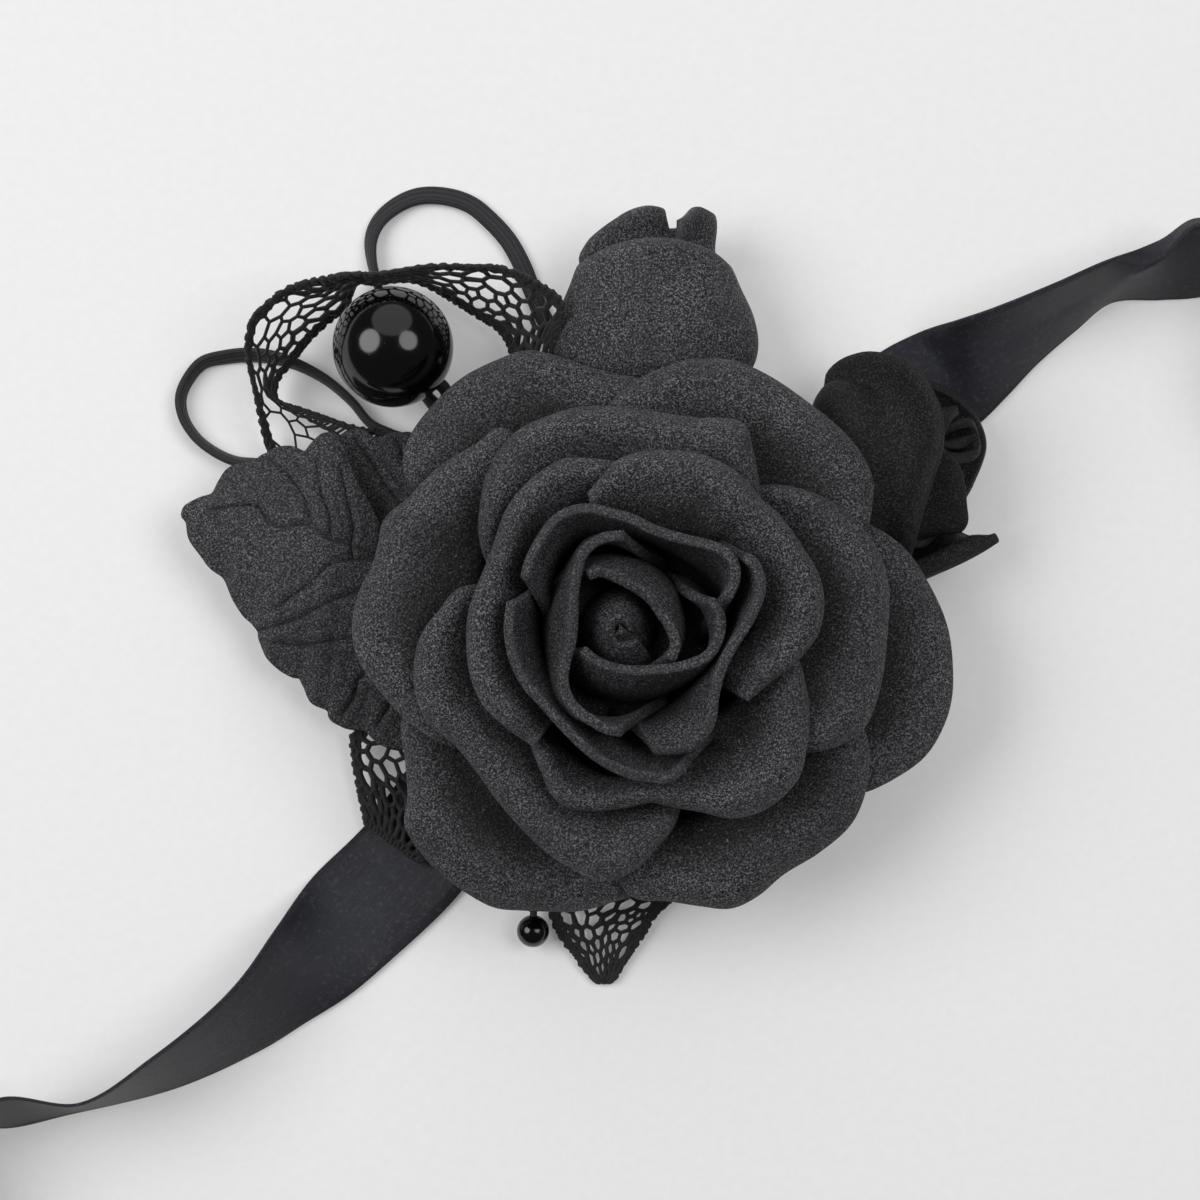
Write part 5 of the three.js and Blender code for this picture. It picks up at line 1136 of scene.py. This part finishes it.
def finish_of(kind):
    """The material of a kind, made on its first use from the colours in the settings."""
    flower, trim = bpy.context.scene.corsage_flower, bpy.context.scene.corsage_trim
    foam = flower.foam_colour
    makers = {
        "Foam": lambda: foam_finish("Foam", foam, painted_hollow_shade=0.7, rim=0.25),
        # painted shade: the heart's foam is a darker copy of the same foam, for the shade deep inside the rose
        "Heart foam": lambda: foam_finish("Heart foam", shade(foam, 0.78), painted_hollow_shade=0.8, rim=0.2),
        "Bud foam": lambda: foam_finish("Bud foam", foam),
        # painted shadow: a much darker copy of the same foam for the right bud, which lies in the rose's
        # shadow
        "Deep foam": lambda: foam_finish("Deep foam", shade(foam, 0.24)),
        "Leaf": lambda: foam_finish("Leaf", flower.leaf_colour, 0.8, painted_crease_shade=True),
        "Satin": lambda: satin_finish("Satin", trim.satin_colour),
        "Lace": lambda: thread_finish("Lace", trim.lace_colour),
        "Cord": lambda: cord_finish("Cord", trim.cord_colour),
        "Felt": lambda: felt_finish("Felt", flower.felt_colour),
        "Bead": lambda: bead_finish("Bead", flower.bead_colour),
        "Tape": lambda: tape_finish("Tape", flower.tape_colour),
    }
    return bpy.data.materials.get(kind) or makers[kind]()


# Lights: name, setting with its power, width, distance, lean off the vertical and bearing in degrees.
LIGHTS = [("Left light", "left_power", 0.5, 0.7, 43, 167), ("Right light", "right_power", 0.5, 0.8, 33, 18),
          ("Back light", "back_power", 1.3, 1.0, 50, 90)]


def add_light(name, power, size, distance, lean, bearing):
    """A round light that points at the bloom."""
    lamp = bpy.data.lights.new(name, "AREA")
    lamp.shape, lamp.energy, lamp.size = "DISK", power, size
    way = Matrix.Rotation(math.radians(bearing), 3, "Z") @ Matrix.Rotation(math.radians(lean), 3, "Y")
    light = linked(name, lamp)
    light.location, light.rotation_euler = way @ Vector((0, 0, distance)), way.to_euler()


class CORSAGE_OT_stage(bpy.types.Operator):
    """Set up the camera, the lights and the floor"""

    bl_idname = "corsage.stage"
    bl_label = "Camera, lights and floor"

    def execute(self, context):
        scene, settings = context.scene, context.scene.corsage_stage
        scene.view_settings.view_transform = "Standard"
        lens = bpy.data.cameras.new("Camera")
        lens.sensor_width, lens.clip_start = 36, 0.01
        lens.lens = lens.sensor_width * EYE[2] / VIEW_WIDTH
        scene.camera = linked("Camera", lens)
        scene.camera.location = [c * MM for c in EYE]
        for name, power, *placing in LIGHTS:
            add_light(name, getattr(settings, power), *placing)
        scene.world = bpy.data.worlds.new("Room")
        scene.world.use_nodes = True
        room = scene.world.node_tree.nodes["Background"].inputs
        room["Color"].default_value, room["Strength"].default_value = (1, 1, 1, 1), settings.room_light
        half = settings.floor_size / 2 / MM
        corners = [(x * half, y * half, -FLOOR_GAP) for x, y in ((-1, -1), (1, -1), (1, 1), (-1, 1))]
        add_mesh("floor", (corners, [(0, 1, 2, 3)], None, None), floor_finish())
        return {"FINISHED"}


class CORSAGE_OT_cords(bpy.types.Operator):
    """Make the two loops of flat cord, which lie on the table"""

    bl_idname = "corsage.cords"
    bl_label = "Cord loops"

    def execute(self, context):
        trim = context.scene.corsage_trim
        wide, thick = trim.cord_width / 2 / MM, trim.cord_thickness / 2 / MM
        for name, ends, twists, places in CORDS:
            start, end = (polar(degrees, PAD_RADIUS + SEAT_GAP, CORD_LEVEL) for degrees in ends)
            route = [start, *(from_grid(right, back, CORD_LEVEL) for right, back in places), end]
            line = sampled_curve(route, STRIP_POINTS)
            turns = uniform_curve(twists, 100)

            def section(share, angle, _, turns=turns):
                turn = np.interp(share, np.linspace(0, 1, len(turns)), turns)
                flat, tall = np.cos(angle), np.sin(angle)
                x = wide * np.sign(flat) * np.abs(flat) ** 0.8
                y = thick * np.sign(tall) * np.abs(tall) ** 0.7
                rest = math.hypot(wide * math.sin(turn), thick * math.cos(turn))
                return (x * math.cos(turn) - y * math.sin(turn),
                        x * math.sin(turn) + y * math.cos(turn) + rest + CORD_GAP - CORD_LEVEL)

            form = tube_form(line, section, 20, True)
            piece = add_piece(f"{name}_flat_cord", form, "Cord", "bloom", "cord", name)
        return {"FINISHED"}


def disc_profile(radius, bottom, top, edge):
    """A disc's section, with a rounded edge."""
    middle, flat = (bottom + top) / 2, radius - edge
    angles = [math.pi * (k / 10 - 0.5) for k in range(1, 10)]
    return [(0, bottom), (radius * 0.5, bottom), (flat, bottom),
            *((flat + edge * math.cos(a), middle + (top - bottom) / 2 * math.sin(a)) for a in angles),
            (flat, top), *((radius * share, top) for share in (0.75, 0.5, 0.25, 0))]


class CORSAGE_OT_base(bpy.types.Operator):
    """Make what the rose is built on: the felt pad, the foam disc and the core"""

    bl_idname = "corsage.base"
    bl_label = "Pad, disc and core"

    def execute(self, context):
        for node, slot, profile, around in (
                ("backing_pad", "felt", disc_profile(PAD_RADIUS, 0, PAD_THICKNESS, 0.5), 180),
                ("rose_base_disc", "foam", disc_profile(DISC_RADIUS, DISC_BOTTOM, DISC_TOP, 0.3), 120),
                ("rose_core", "foam", disc_profile(CORE_RADIUS, DISC_TOP + SEAT_GAP, CORE_TOP, 0.3), 32)):
            form = lathe_form(profile, around)
            piece = add_piece(f"{node}_{slot}", form, slot.title(), "bloom", slot, node)
            node != "rose_core"
        return {"FINISHED"}


def heart_roll_grid():
    """The rolled heart: a wound strip, pressed in along a fold and at a pit."""
    grid = []
    for turned in np.linspace(0, HEART_TURNS, 160):
        bearing = -2 * math.pi * turned - math.pi / 4
        top = HEART_HEIGHT + HEART_GAIN * turned + HEART_SLANT * math.cos(bearing - 2.4)
        low, high = (radius - loss * turned for radius, loss in (HEART_FOOT, HEART_RIM))
        row = []
        for share in np.linspace(0, 1, 32):
            reach = low + (high - low) * share**1.3
            place = np.array([reach * math.cos(bearing), reach * HEART_STRETCH * math.sin(bearing)])
            along, aside = place @ FOLD_WAY, place @ np.array([-FOLD_WAY[1], FOLD_WAY[0]])
            off = aside - 0.25 * math.sin(along * 1.4)
            fold = smooth_step(-0.2, 0.8, along) * math.exp(-(off / 0.32) ** 2)
            pit = math.exp(-((along - 1.6) / 0.8) ** 2 - ((aside - 1.1) / 0.55) ** 2)
            pressed = FOLD_DEPTH * fold + PIT_DEPTH * pit
            row.append((*place, CORE_TOP + SEAT_GAP + top * share - pressed * share))
        grid.append(row)
    return np.array(grid)


class CORSAGE_OT_rose(bpy.types.Operator):
    """Make the rose's rolled heart and its petals"""

    bl_idname = "corsage.rose"
    bl_label = "Rose"

    def execute(self, context):
        flower = context.scene.corsage_flower
        thickness, wave = flower.foam_thickness / MM, flower.unevenness / MM
        *form, nearness = sheet_form(heart_roll_grid(), thickness, from_rim=True)
        add_piece("rose_heart_roll_foam", (*form, nearness * 0.3), "Heart foam", "bloom", "foam",
                  "rose_heart_roll")
        for number, petal in enumerate(PETALS):
            is_open = petal[2] > 0
            grid = petal_grid(petal, OPEN_COLUMNS if is_open else HEART_COLUMNS, PETAL_ROWS)
            grid = ripple(grid, wave, PETAL_WAVE, number * 13)
            add_piece(f"{petal[0]}_foam", sheet_form(grid, thickness, from_rim=True),
                      "Foam" if is_open else "Heart foam", "bloom", "foam", petal[0])
        return {"FINISHED"}


def taped(name, line, radius, body, node):
    """A wire wound with stem tape, whose laps show as a low ridge."""

    def section(_, angle, length):
        lap = (length / TAPE_LAP + angle / (2 * math.pi)) % 1
        reach = radius * (0.95 + 0.1 * lap)
        return reach * np.cos(angle), reach * np.sin(angle)

    add_piece(name, tube_form(line, section, 24), "Tape", body, "wire", node)


class CORSAGE_OT_buds(bpy.types.Operator):
    """Make the two foam buds on their taped stems"""

    bl_idname = "corsage.buds"
    bl_label = "Buds"

    def execute(self, context):
        flower = context.scene.corsage_flower
        thickness, wave = flower.foam_thickness / MM, flower.unevenness / MM
        # the right bud gets the darker copy of the foam: painted shadow
        for number, (values, finish) in enumerate(zip(BUDS, ("Bud foam", "Deep foam"))):
            bud = Bud(*values)
            grids = {shell[0]: ripple(bud.shell_grid(shell, BUD_COLUMNS, BUD_ROWS), wave, BUD_WAVE,
                                      300 + number * 50 + k * 7) for k, shell in enumerate(bud.shells)}
            grids["roll"] = bud.roll_grid(90, 24)
            for part, grid in grids.items():
                node = f"{bud.name}_{part}"
                add_piece(f"{node}_foam", sheet_form(grid, thickness), finish, "bloom", "foam", node)
            taped(f"{bud.name}_taped_stem", bud.stem_line(), BUD_STEM_RADIUS, "bloom", f"{bud.name}_stem")
        return {"FINISHED"}


def nearest_crease(places, creases):
    """Each place's distance from the nearest crease, in grid squares."""
    least = np.full(len(places), 9.0)
    for crease in creases:
        line = curve_line([(right, back, 0) for right, back in crease], 8)[:, :2]
        for a, b in zip(line, line[1:]):
            way = b - a
            share = np.clip(((places - a) @ way) / (way @ way), 0, 1)
            least = np.minimum(least, np.linalg.norm(places - a - share[:, None] * way, axis=1))
    return least


def leaf_grid(number, lift, edges, creases, depth):
    """A leaf's surface, arched and with creases pressed into it, and how deep in a crease each point is."""
    columns, rows = len(edges[0]) - 1, 70 if lift else 60
    grid = ruled(*edges, rows)
    across, along = np.linspace(0, 1, rows + 1)[None, :], np.linspace(0, 1, columns + 1)[:, None]
    grid[:, :, 2] += lift * np.sin(math.pi * across) * np.sin(math.pi * along)
    shrink = 1 - grid[:, :, 2:] / EYE[2]
    seen = ((grid[:, :, :2] - np.array(EYE[:2])) / (GRID_SQUARE * shrink)).reshape(-1, 2)
    near = nearest_crease(seen, creases).reshape(grid.shape[:2])
    pressed = np.exp(-(near / CREASE_WIDTH) ** 2)
    raised = np.exp(-((near - RIDGE_DISTANCE) / RIDGE_WIDTH) ** 2)
    grid = grid + normals_of(grid) * (raised * RIDGE_SHARE - pressed)[:, :, None] * depth
    return ripple(grid, LEAF_UNEVENNESS, LEAF_WAVE, 500 + number * 9), pressed


class CORSAGE_OT_leaves(bpy.types.Operator):
    """Make the two embossed leaves and their stems"""

    bl_idname = "corsage.leaves"
    bl_label = "Leaves"

    def execute(self, context):
        depth = context.scene.corsage_flower.crease_depth / MM
        for number, (name, stem_degrees, lift, upper, lower, creases) in enumerate(LEAVES):
            edges = [sampled_curve([from_grid(right, back, up * LEAF_HEIGHT) for right, back, up in edge],
                                   150 if lift else 60) for edge in (upper, lower)]
            grid, pressed = leaf_grid(number, lift, edges, creases, depth)
            piece = add_piece(f"{name}_foam", sheet_form(grid, LEAF_THICKNESS), "Leaf", "bloom", "leaf", name)
            marks = np.zeros(len(piece.data.vertices))
            marks[:pressed.size] = pressed.ravel()
            add_attribute(piece.data, "crease", marks)
            root = polar(stem_degrees, DISC_RADIUS + SEAT_GAP, STEM_LIFT)
            seat = (edges[0][0] + edges[1][0]) / 2
            way = (root - seat) / np.linalg.norm(root - seat)
            line = spaced([root, seat + way * LEAF_THICKNESS], 40)
            taped(f"{name}_taped_stem", line, LEAF_STEM_RADIUS, "bloom", f"{name}_stem")
        return {"FINISHED"}


def ball_section(radius, start, end, count):
    return [(radius * math.sin(a), -radius * math.cos(a)) for a in np.linspace(start, end, count)]


def bead_profile(radius, bore, depth):
    """A bead's section: a blind bore with a softened lip, and the ball."""
    mouth, bottom = math.sqrt(radius**2 - bore**2) - BORE_LIP, depth - radius
    tunnel = [(bore, h) for h in np.linspace(bottom, -mouth, 8)]
    return [(0, bottom), *tunnel, *ball_section(radius, math.asin((bore + BORE_LIP) / radius), math.pi, 64)]


def bored_through_form(radius, bore, middle, way, around):
    """A bead with a hole right through it: a turned ring."""
    start = math.asin((bore + 0.08) / radius)
    mouth = math.sqrt(radius**2 - bore**2) - 0.06
    section = ball_section(radius, start, math.pi - start, 32)
    section += [(bore, h) for h in np.linspace(mouth, -mouth, 6)]
    index = np.arange(len(section) * around).reshape(len(section), around)
    after = np.roll(index, -1, axis=0)
    faces = np.stack([index, np.roll(index, -1, axis=1), np.roll(after, -1, axis=1), after], 2).reshape(-1, 4)
    return stood_along(turned_rings(section, around).reshape(-1, 3), middle, way), faces, None, None


def add_bead(node, spray, around, radius, wire, depth, middle, entry):
    """A bead with a blind bore for its wire, and the way in which the wire enters it."""
    way = (middle - entry) / np.linalg.norm(middle - entry)
    profile = bead_profile(radius, wire + BORE_CLEARANCE, depth)
    add_piece(f"{node}_polished", lathe_form(profile, around, middle, way), "Bead", spray, "bead", node)
    return way


class CORSAGE_OT_beads(bpy.types.Operator):
    """Make the beads on their taped wires"""

    bl_idname = "corsage.beads"
    bl_label = "Beads"

    def execute(self, context):
        middle, entry = from_grid(-2.07, 2.53, BEAD_HEIGHT), from_grid(-1.6, 2.15, 0.54 * BEAD_HEIGHT)
        way = add_bead("large_bead", "large_bead_spray", 128, BEAD_RADIUS, BEAD_WIRE_RADIUS, BEAD_BORE_DEPTH,
                       middle, entry)
        bottom = BEAD_BORE_DEPTH - BEAD_RADIUS - SEAT_GAP
        route = [polar(142, DISC_RADIUS + SEAT_GAP, STEM_LIFT), from_grid(-1.18, 1.12, 0.38 * BEAD_HEIGHT),
                 from_grid(-1.38, 1.7, 0.4 * BEAD_HEIGHT)]
        route += [middle + way * h for h in (-BEAD_RADIUS - 2 * BEAD_WIRE_RADIUS, -BEAD_RADIUS,
                                             (bottom - BEAD_RADIUS) / 2, bottom)]
        taped("large_bead_taped_wire", sampled_curve(route, 150), BEAD_WIRE_RADIUS, "large_bead_spray",
              "large_bead_wire")

        middle = from_grid(-0.67, -3.31, SMALL_BEAD_RADIUS + SEAT_GAP)
        way = add_bead("small_bead", "small_bead_spray", 72, SMALL_BEAD_RADIUS, SMALL_WIRE_RADIUS,
                       1.5 * SMALL_BEAD_RADIUS, middle, from_grid(-0.66, -3, middle[2]))
        cap = -(SMALL_BEAD_RADIUS + CAP_BEAD_RADIUS + SEAT_GAP / 2)
        bore = SMALL_WIRE_RADIUS + BORE_CLEARANCE
        form = bored_through_form(CAP_BEAD_RADIUS, bore, middle + way * cap, way, 48)
        add_piece("cap_bead_polished", form, "Bead", "small_bead_spray", "bead", "cap_bead")
        route = [polar(253, DISC_RADIUS + SEAT_GAP, STEM_LIFT), from_grid(-0.42, -2.1, STEM_LIFT),
                 from_grid(-0.6, -2.6, (STEM_LIFT + middle[2]) / 2)]
        route += [middle + way * h for h in (cap - 3 * CAP_BEAD_RADIUS, cap - CAP_BEAD_RADIUS, cap,
                                             SMALL_BEAD_RADIUS / 2 - SEAT_GAP)]
        taped("small_bead_taped_wire", sampled_curve(route, 110), SMALL_WIRE_RADIUS, "small_bead_spray",
              "small_bead_wire")
        return {"FINISHED"}


class Lace:
    """A length of lace: its surface, and how its net varies over shares along and across it."""

    def __init__(self, number, spacing, thread, name, fullness, drawn, roots, ends, outer, inner):
        self.number, self.spacing, self.thread = number, spacing, thread
        self.name, self.fullness, self.drawn = name, fullness, drawn
        self.grid = band_surface(roots, ends, outer, inner)
        self.length = line_length(self.grid.mean(1))
        widths = np.linalg.norm(self.grid[:, -1] - self.grid[:, 0], axis=1)
        self.width, self.widest = float(widths.mean()), float(widths.max())

    def gather(self, s, t):
        """How far the net is drawn together: at the loop's bend and root, and all over the ends."""
        if self.number == 0:
            return math.exp(-((s - 0.44) / 0.05) ** 2) + 1.7 * math.exp(-((s - 0.15) / 0.13) ** 2)
        if self.number == 1:
            return self.drawn * (1 - math.exp(-((s - 0.45) / 0.2) ** 2 - ((t - 0.4) / 0.3) ** 2))
        return self.drawn * (0.6 + 0.7 * noise.noise(Vector((s * 6, t * 4, 2))))

    def ladder(self, s):
        """How far the loop's inner edge is an open ladder of rungs."""
        return 0 if self.number else smooth_step(0.6, 0.64, s) * (1 - smooth_step(0.78, 0.84, s))

    def spacing_at(self, s, t):
        uneven = 1 + 0.5 * noise.noise(Vector((s * 9, t * 2, self.number * 5.0)))
        usual = END_SPACING if self.number else 1
        return (usual * self.spacing * uneven * (1 - 0.15 * min(self.gather(s, t), 1))
                * (1 + 0.3 * self.ladder(s)))

    def radius_at(self, s, t):
        patch = smooth_step(0.05, 0.45, noise.noise(Vector((s * 14, t * 3.2, 20.0 + self.number))))
        edge = math.exp(-min(t, 1 - t) * self.width / 0.9)
        usual = END_THREAD if self.number else LOOP_THREAD
        return (self.thread * (usual + 0.55 * patch + 0.2 * edge + 0.35 * self.gather(s, t))
                * (1 - 0.3 * self.ladder(s)))

    def net(self, rng):
        threads = Threads(self.grid)
        tries = int(TRIES * self.length * self.width / self.spacing**2)
        add_net(threads, rng, self.length, self.width, self.spacing_at, self.radius_at, tries)
        for s in (0, 1):
            threads.line(np.column_stack([np.full(20, s), np.linspace(0, 1, 20)]), self.thread)
        return threaded(f"{self.name}_net", threads.mesh(f"{self.name}_net"))

    def edging(self):
        """Three wavy threads along each edge, bound by short stitches across them."""
        threads, shares = Threads(self.grid), np.linspace(0, 1, int(self.length / EDGE_STEP))
        turned = shares * self.length * 2 * math.pi
        for edge, inward in ((0, 1), (1, -1)):
            for offset, size, spread in EDGE_THREADS:
                open_up = np.array([1 + spread * edge * self.ladder(x) for x in shares])
                wave = WAVE_DEPTH * np.sin(turned / WAVE_PITCH + offset * 9)
                bump = 1 + 0.3 * np.sin(turned / SWELL_PITCH + offset * 5)
                across = edge + inward * (offset * open_up + wave) / self.width
                threads.line(np.column_stack([shares, across]), self.thread * size * bump, 0.1 * wave)
            for x in np.arange(0.4, self.length, STITCH_PITCH):
                reach = 0.95 + 0.85 * edge * self.ladder(x / self.length)
                ends = (x, 0.05), (x + 0.1, reach)
                threads.line([(a / self.length, edge + inward * b / self.width) for a, b in ends],
                             self.thread * STITCH_THREAD)
        return threaded(f"{self.name}_edging", threads.mesh(f"{self.name}_edging"))


class CORSAGE_OT_lace(bpy.types.Operator):
    """Make the lace: an uneven net between corded edges, for the loop, the short end and the pointed end"""

    bl_idname = "corsage.lace"
    bl_label = "Lace"

    def execute(self, context):
        trim = context.scene.corsage_trim
        rng = np.random.default_rng(7)
        for number, values in enumerate(LACES):
            lace = Lace(number, trim.net_spacing / MM, trim.thread_thickness / 2 / MM, *values)
            net = dress(lace.net(rng), "bloom", "lace", lace.name)
            border = dress(lace.edging(), "bloom", "lace")
            # The area is the mean gathered width times the cut length: the guessed fullness counts once in it.
            cut, length = lace.widest * lace.fullness, lace.length * lace.fullness
            cut * MM
            length * MM
            lace.width * length * MM * MM
        return {"FINISHED"}


def ribbon_line(side, bearing, turn, roll, places):
    """One edge of a ribbon tail, from the pad's rim to the roll."""
    angle = math.radians(bearing)
    across = np.array([-math.sin(angle), math.cos(angle), 0]) * side * RIBBON_WIDTH / 2
    laid = places[0][2] * RIBBON_WIDTH
    points = [polar(bearing, HINGE_REACH, RIBBON_MIDDLE) + across,
              polar(bearing, HINGE_REACH + RIBBON_ROOM * 4, (RIBBON_MIDDLE + laid) / 2) + across]
    points += [from_grid(right, back, up * RIBBON_WIDTH) for right, back, up in places]
    standing = (ROLL_LIFT + (1 - side * turn) / 2) * RIBBON_WIDTH
    points += [roll + [turn * x, ROLL_OUTER_RADIUS, standing] for x in (ROLL_OUTER_RADIUS, SEAT_GAP)]
    line = curve_line(points, 40)
    line[:, 2] = np.maximum(line[:, 2], SEAT_GAP)
    return spaced(line, STRIP_POINTS)


def ribbon_grid(side, bearing, turn, roll_place, lines):
    """Half of the middle band, a tail and its roll, as one strip from edge to edge."""
    roll = from_grid(*roll_place, 0)
    sides = sorted(lines)
    share = np.linspace(-1, 1, RIBBON_CELLS + 1)
    ways = {name: np.array([math.cos(math.radians(b)), math.sin(math.radians(b))]) for name, b, *_ in TAILS}
    band = []
    for s in np.linspace(0.5, 0 if side == "left" else 1, 50):
        point = (ways["left"] * (1 - s) ** 2 + ways["right"] * s**2) * (HINGE_REACH - SEAT_GAP)
        heading = (ways["left"] * (s - 1) + ways["right"] * s) * (-1 if side == "left" else 1)
        heading /= np.linalg.norm(heading)
        offset = share[:, None] * RIBBON_WIDTH / 2 * np.array([-heading[1], heading[0]])
        band.append(np.column_stack([point + offset, np.full(len(share), RIBBON_MIDDLE)]))
    edges = [ribbon_line(k, bearing, turn, roll, lines[k]) for k in sides]
    if len(edges) == 3:
        fit = np.stack([np.maximum(-share, 0), 1 - abs(share), np.maximum(share, 0)])
    else:
        fit = np.stack([(1 - share) / 2, (1 + share) / 2])
    tail = np.einsum("ks,kij->isj", fit, np.array(edges))
    wound = []
    for turned in np.linspace(0.01, ROLL_TURNS, int(ROLL_TURNS * ROLL_STEPS)):
        reach = ROLL_OUTER_RADIUS - turned * ROLL_PITCH
        angle = math.pi / 2 + turn * 2 * math.pi * turned
        stand = (1 - turn * share) / 2 * RIBBON_WIDTH + SEAT_GAP * max(0, 1 - turned * 3)
        wound.append(np.column_stack([np.full(len(share), roll[0] + reach * math.cos(angle)),
                                      np.full(len(share), roll[1] + reach * math.sin(angle)), stand]))
    return np.concatenate([np.array(band), tail, np.array(wound)])


class CORSAGE_OT_ribbons(bpy.types.Operator):
    """Make the satin wrist ribbon: a tail with a rolled end on each side, joined under the rose"""

    bl_idname = "corsage.ribbons"
    bl_label = "Wrist ribbon"

    def execute(self, context):
        trim = context.scene.corsage_trim
        for side, bearing, turn, roll, lines in TAILS:
            grid = ribbon_grid(side, bearing, turn, roll, lines)
            form = sheet_form(grid, trim.satin_thickness / MM, 0.5, 3)
            piece = add_mesh(f"wrist_ribbon_{side}", form, finish_of("Satin"))
            nodes = [f"ribbon_tail_{side}", f"ribbon_roll_{side}"]
            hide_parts(*nodes, *(["ribbon_middle_band"] if side == "left" else []))
            hinge = polar(bearing, HINGE_REACH, RIBBON_MIDDLE) * MM
            way = polar(bearing, 1, 0) * MM
            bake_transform(piece)
        return {"FINISHED"}


OPERATORS = (CORSAGE_OT_stage, CORSAGE_OT_cords, CORSAGE_OT_base, CORSAGE_OT_rose, CORSAGE_OT_buds,
             CORSAGE_OT_leaves, CORSAGE_OT_beads, CORSAGE_OT_lace, CORSAGE_OT_ribbons)


class CORSAGE_PT_panel(bpy.types.Panel):
    """Corsage settings and steps"""

    bl_idname = "CORSAGE_PT_panel"
    bl_label = "Corsage"
    bl_space_type = "VIEW_3D"
    bl_region_type = "UI"
    bl_category = "Corsage"

    def draw(self, context):
        for name in GROUPS:
            box = self.layout.box()
            group = getattr(context.scene, name)
            for key in group.bl_rna.properties.keys():
                if key not in ("rna_type", "name"):
                    box.prop(group, key)
        for operator in OPERATORS:
            self.layout.operator(operator.bl_idname)


GROUPS = {"corsage_flower": CorsageFlower, "corsage_trim": CorsageTrim, "corsage_stage": CorsageStage}
CLASSES = (*GROUPS.values(), *OPERATORS, CORSAGE_PT_panel)


def register():
    for item in CLASSES:
        bpy.utils.register_class(item)
    for name, group in GROUPS.items():
        setattr(bpy.types.Scene, name, bpy.props.PointerProperty(type=group))


def unregister():
    for name in GROUPS:
        delattr(bpy.types.Scene, name)
    for item in reversed(CLASSES):
        bpy.utils.unregister_class(item)


def main():
    register()
    bpy.ops.corsage.stage()
    bpy.ops.corsage.cords()
    bpy.ops.corsage.base()
    bpy.ops.corsage.rose()
    bpy.ops.corsage.buds()
    bpy.ops.corsage.leaves()
    bpy.ops.corsage.beads()
    bpy.ops.corsage.lace()
    bpy.ops.corsage.ribbons()


if __name__ == "__main__":
    main()
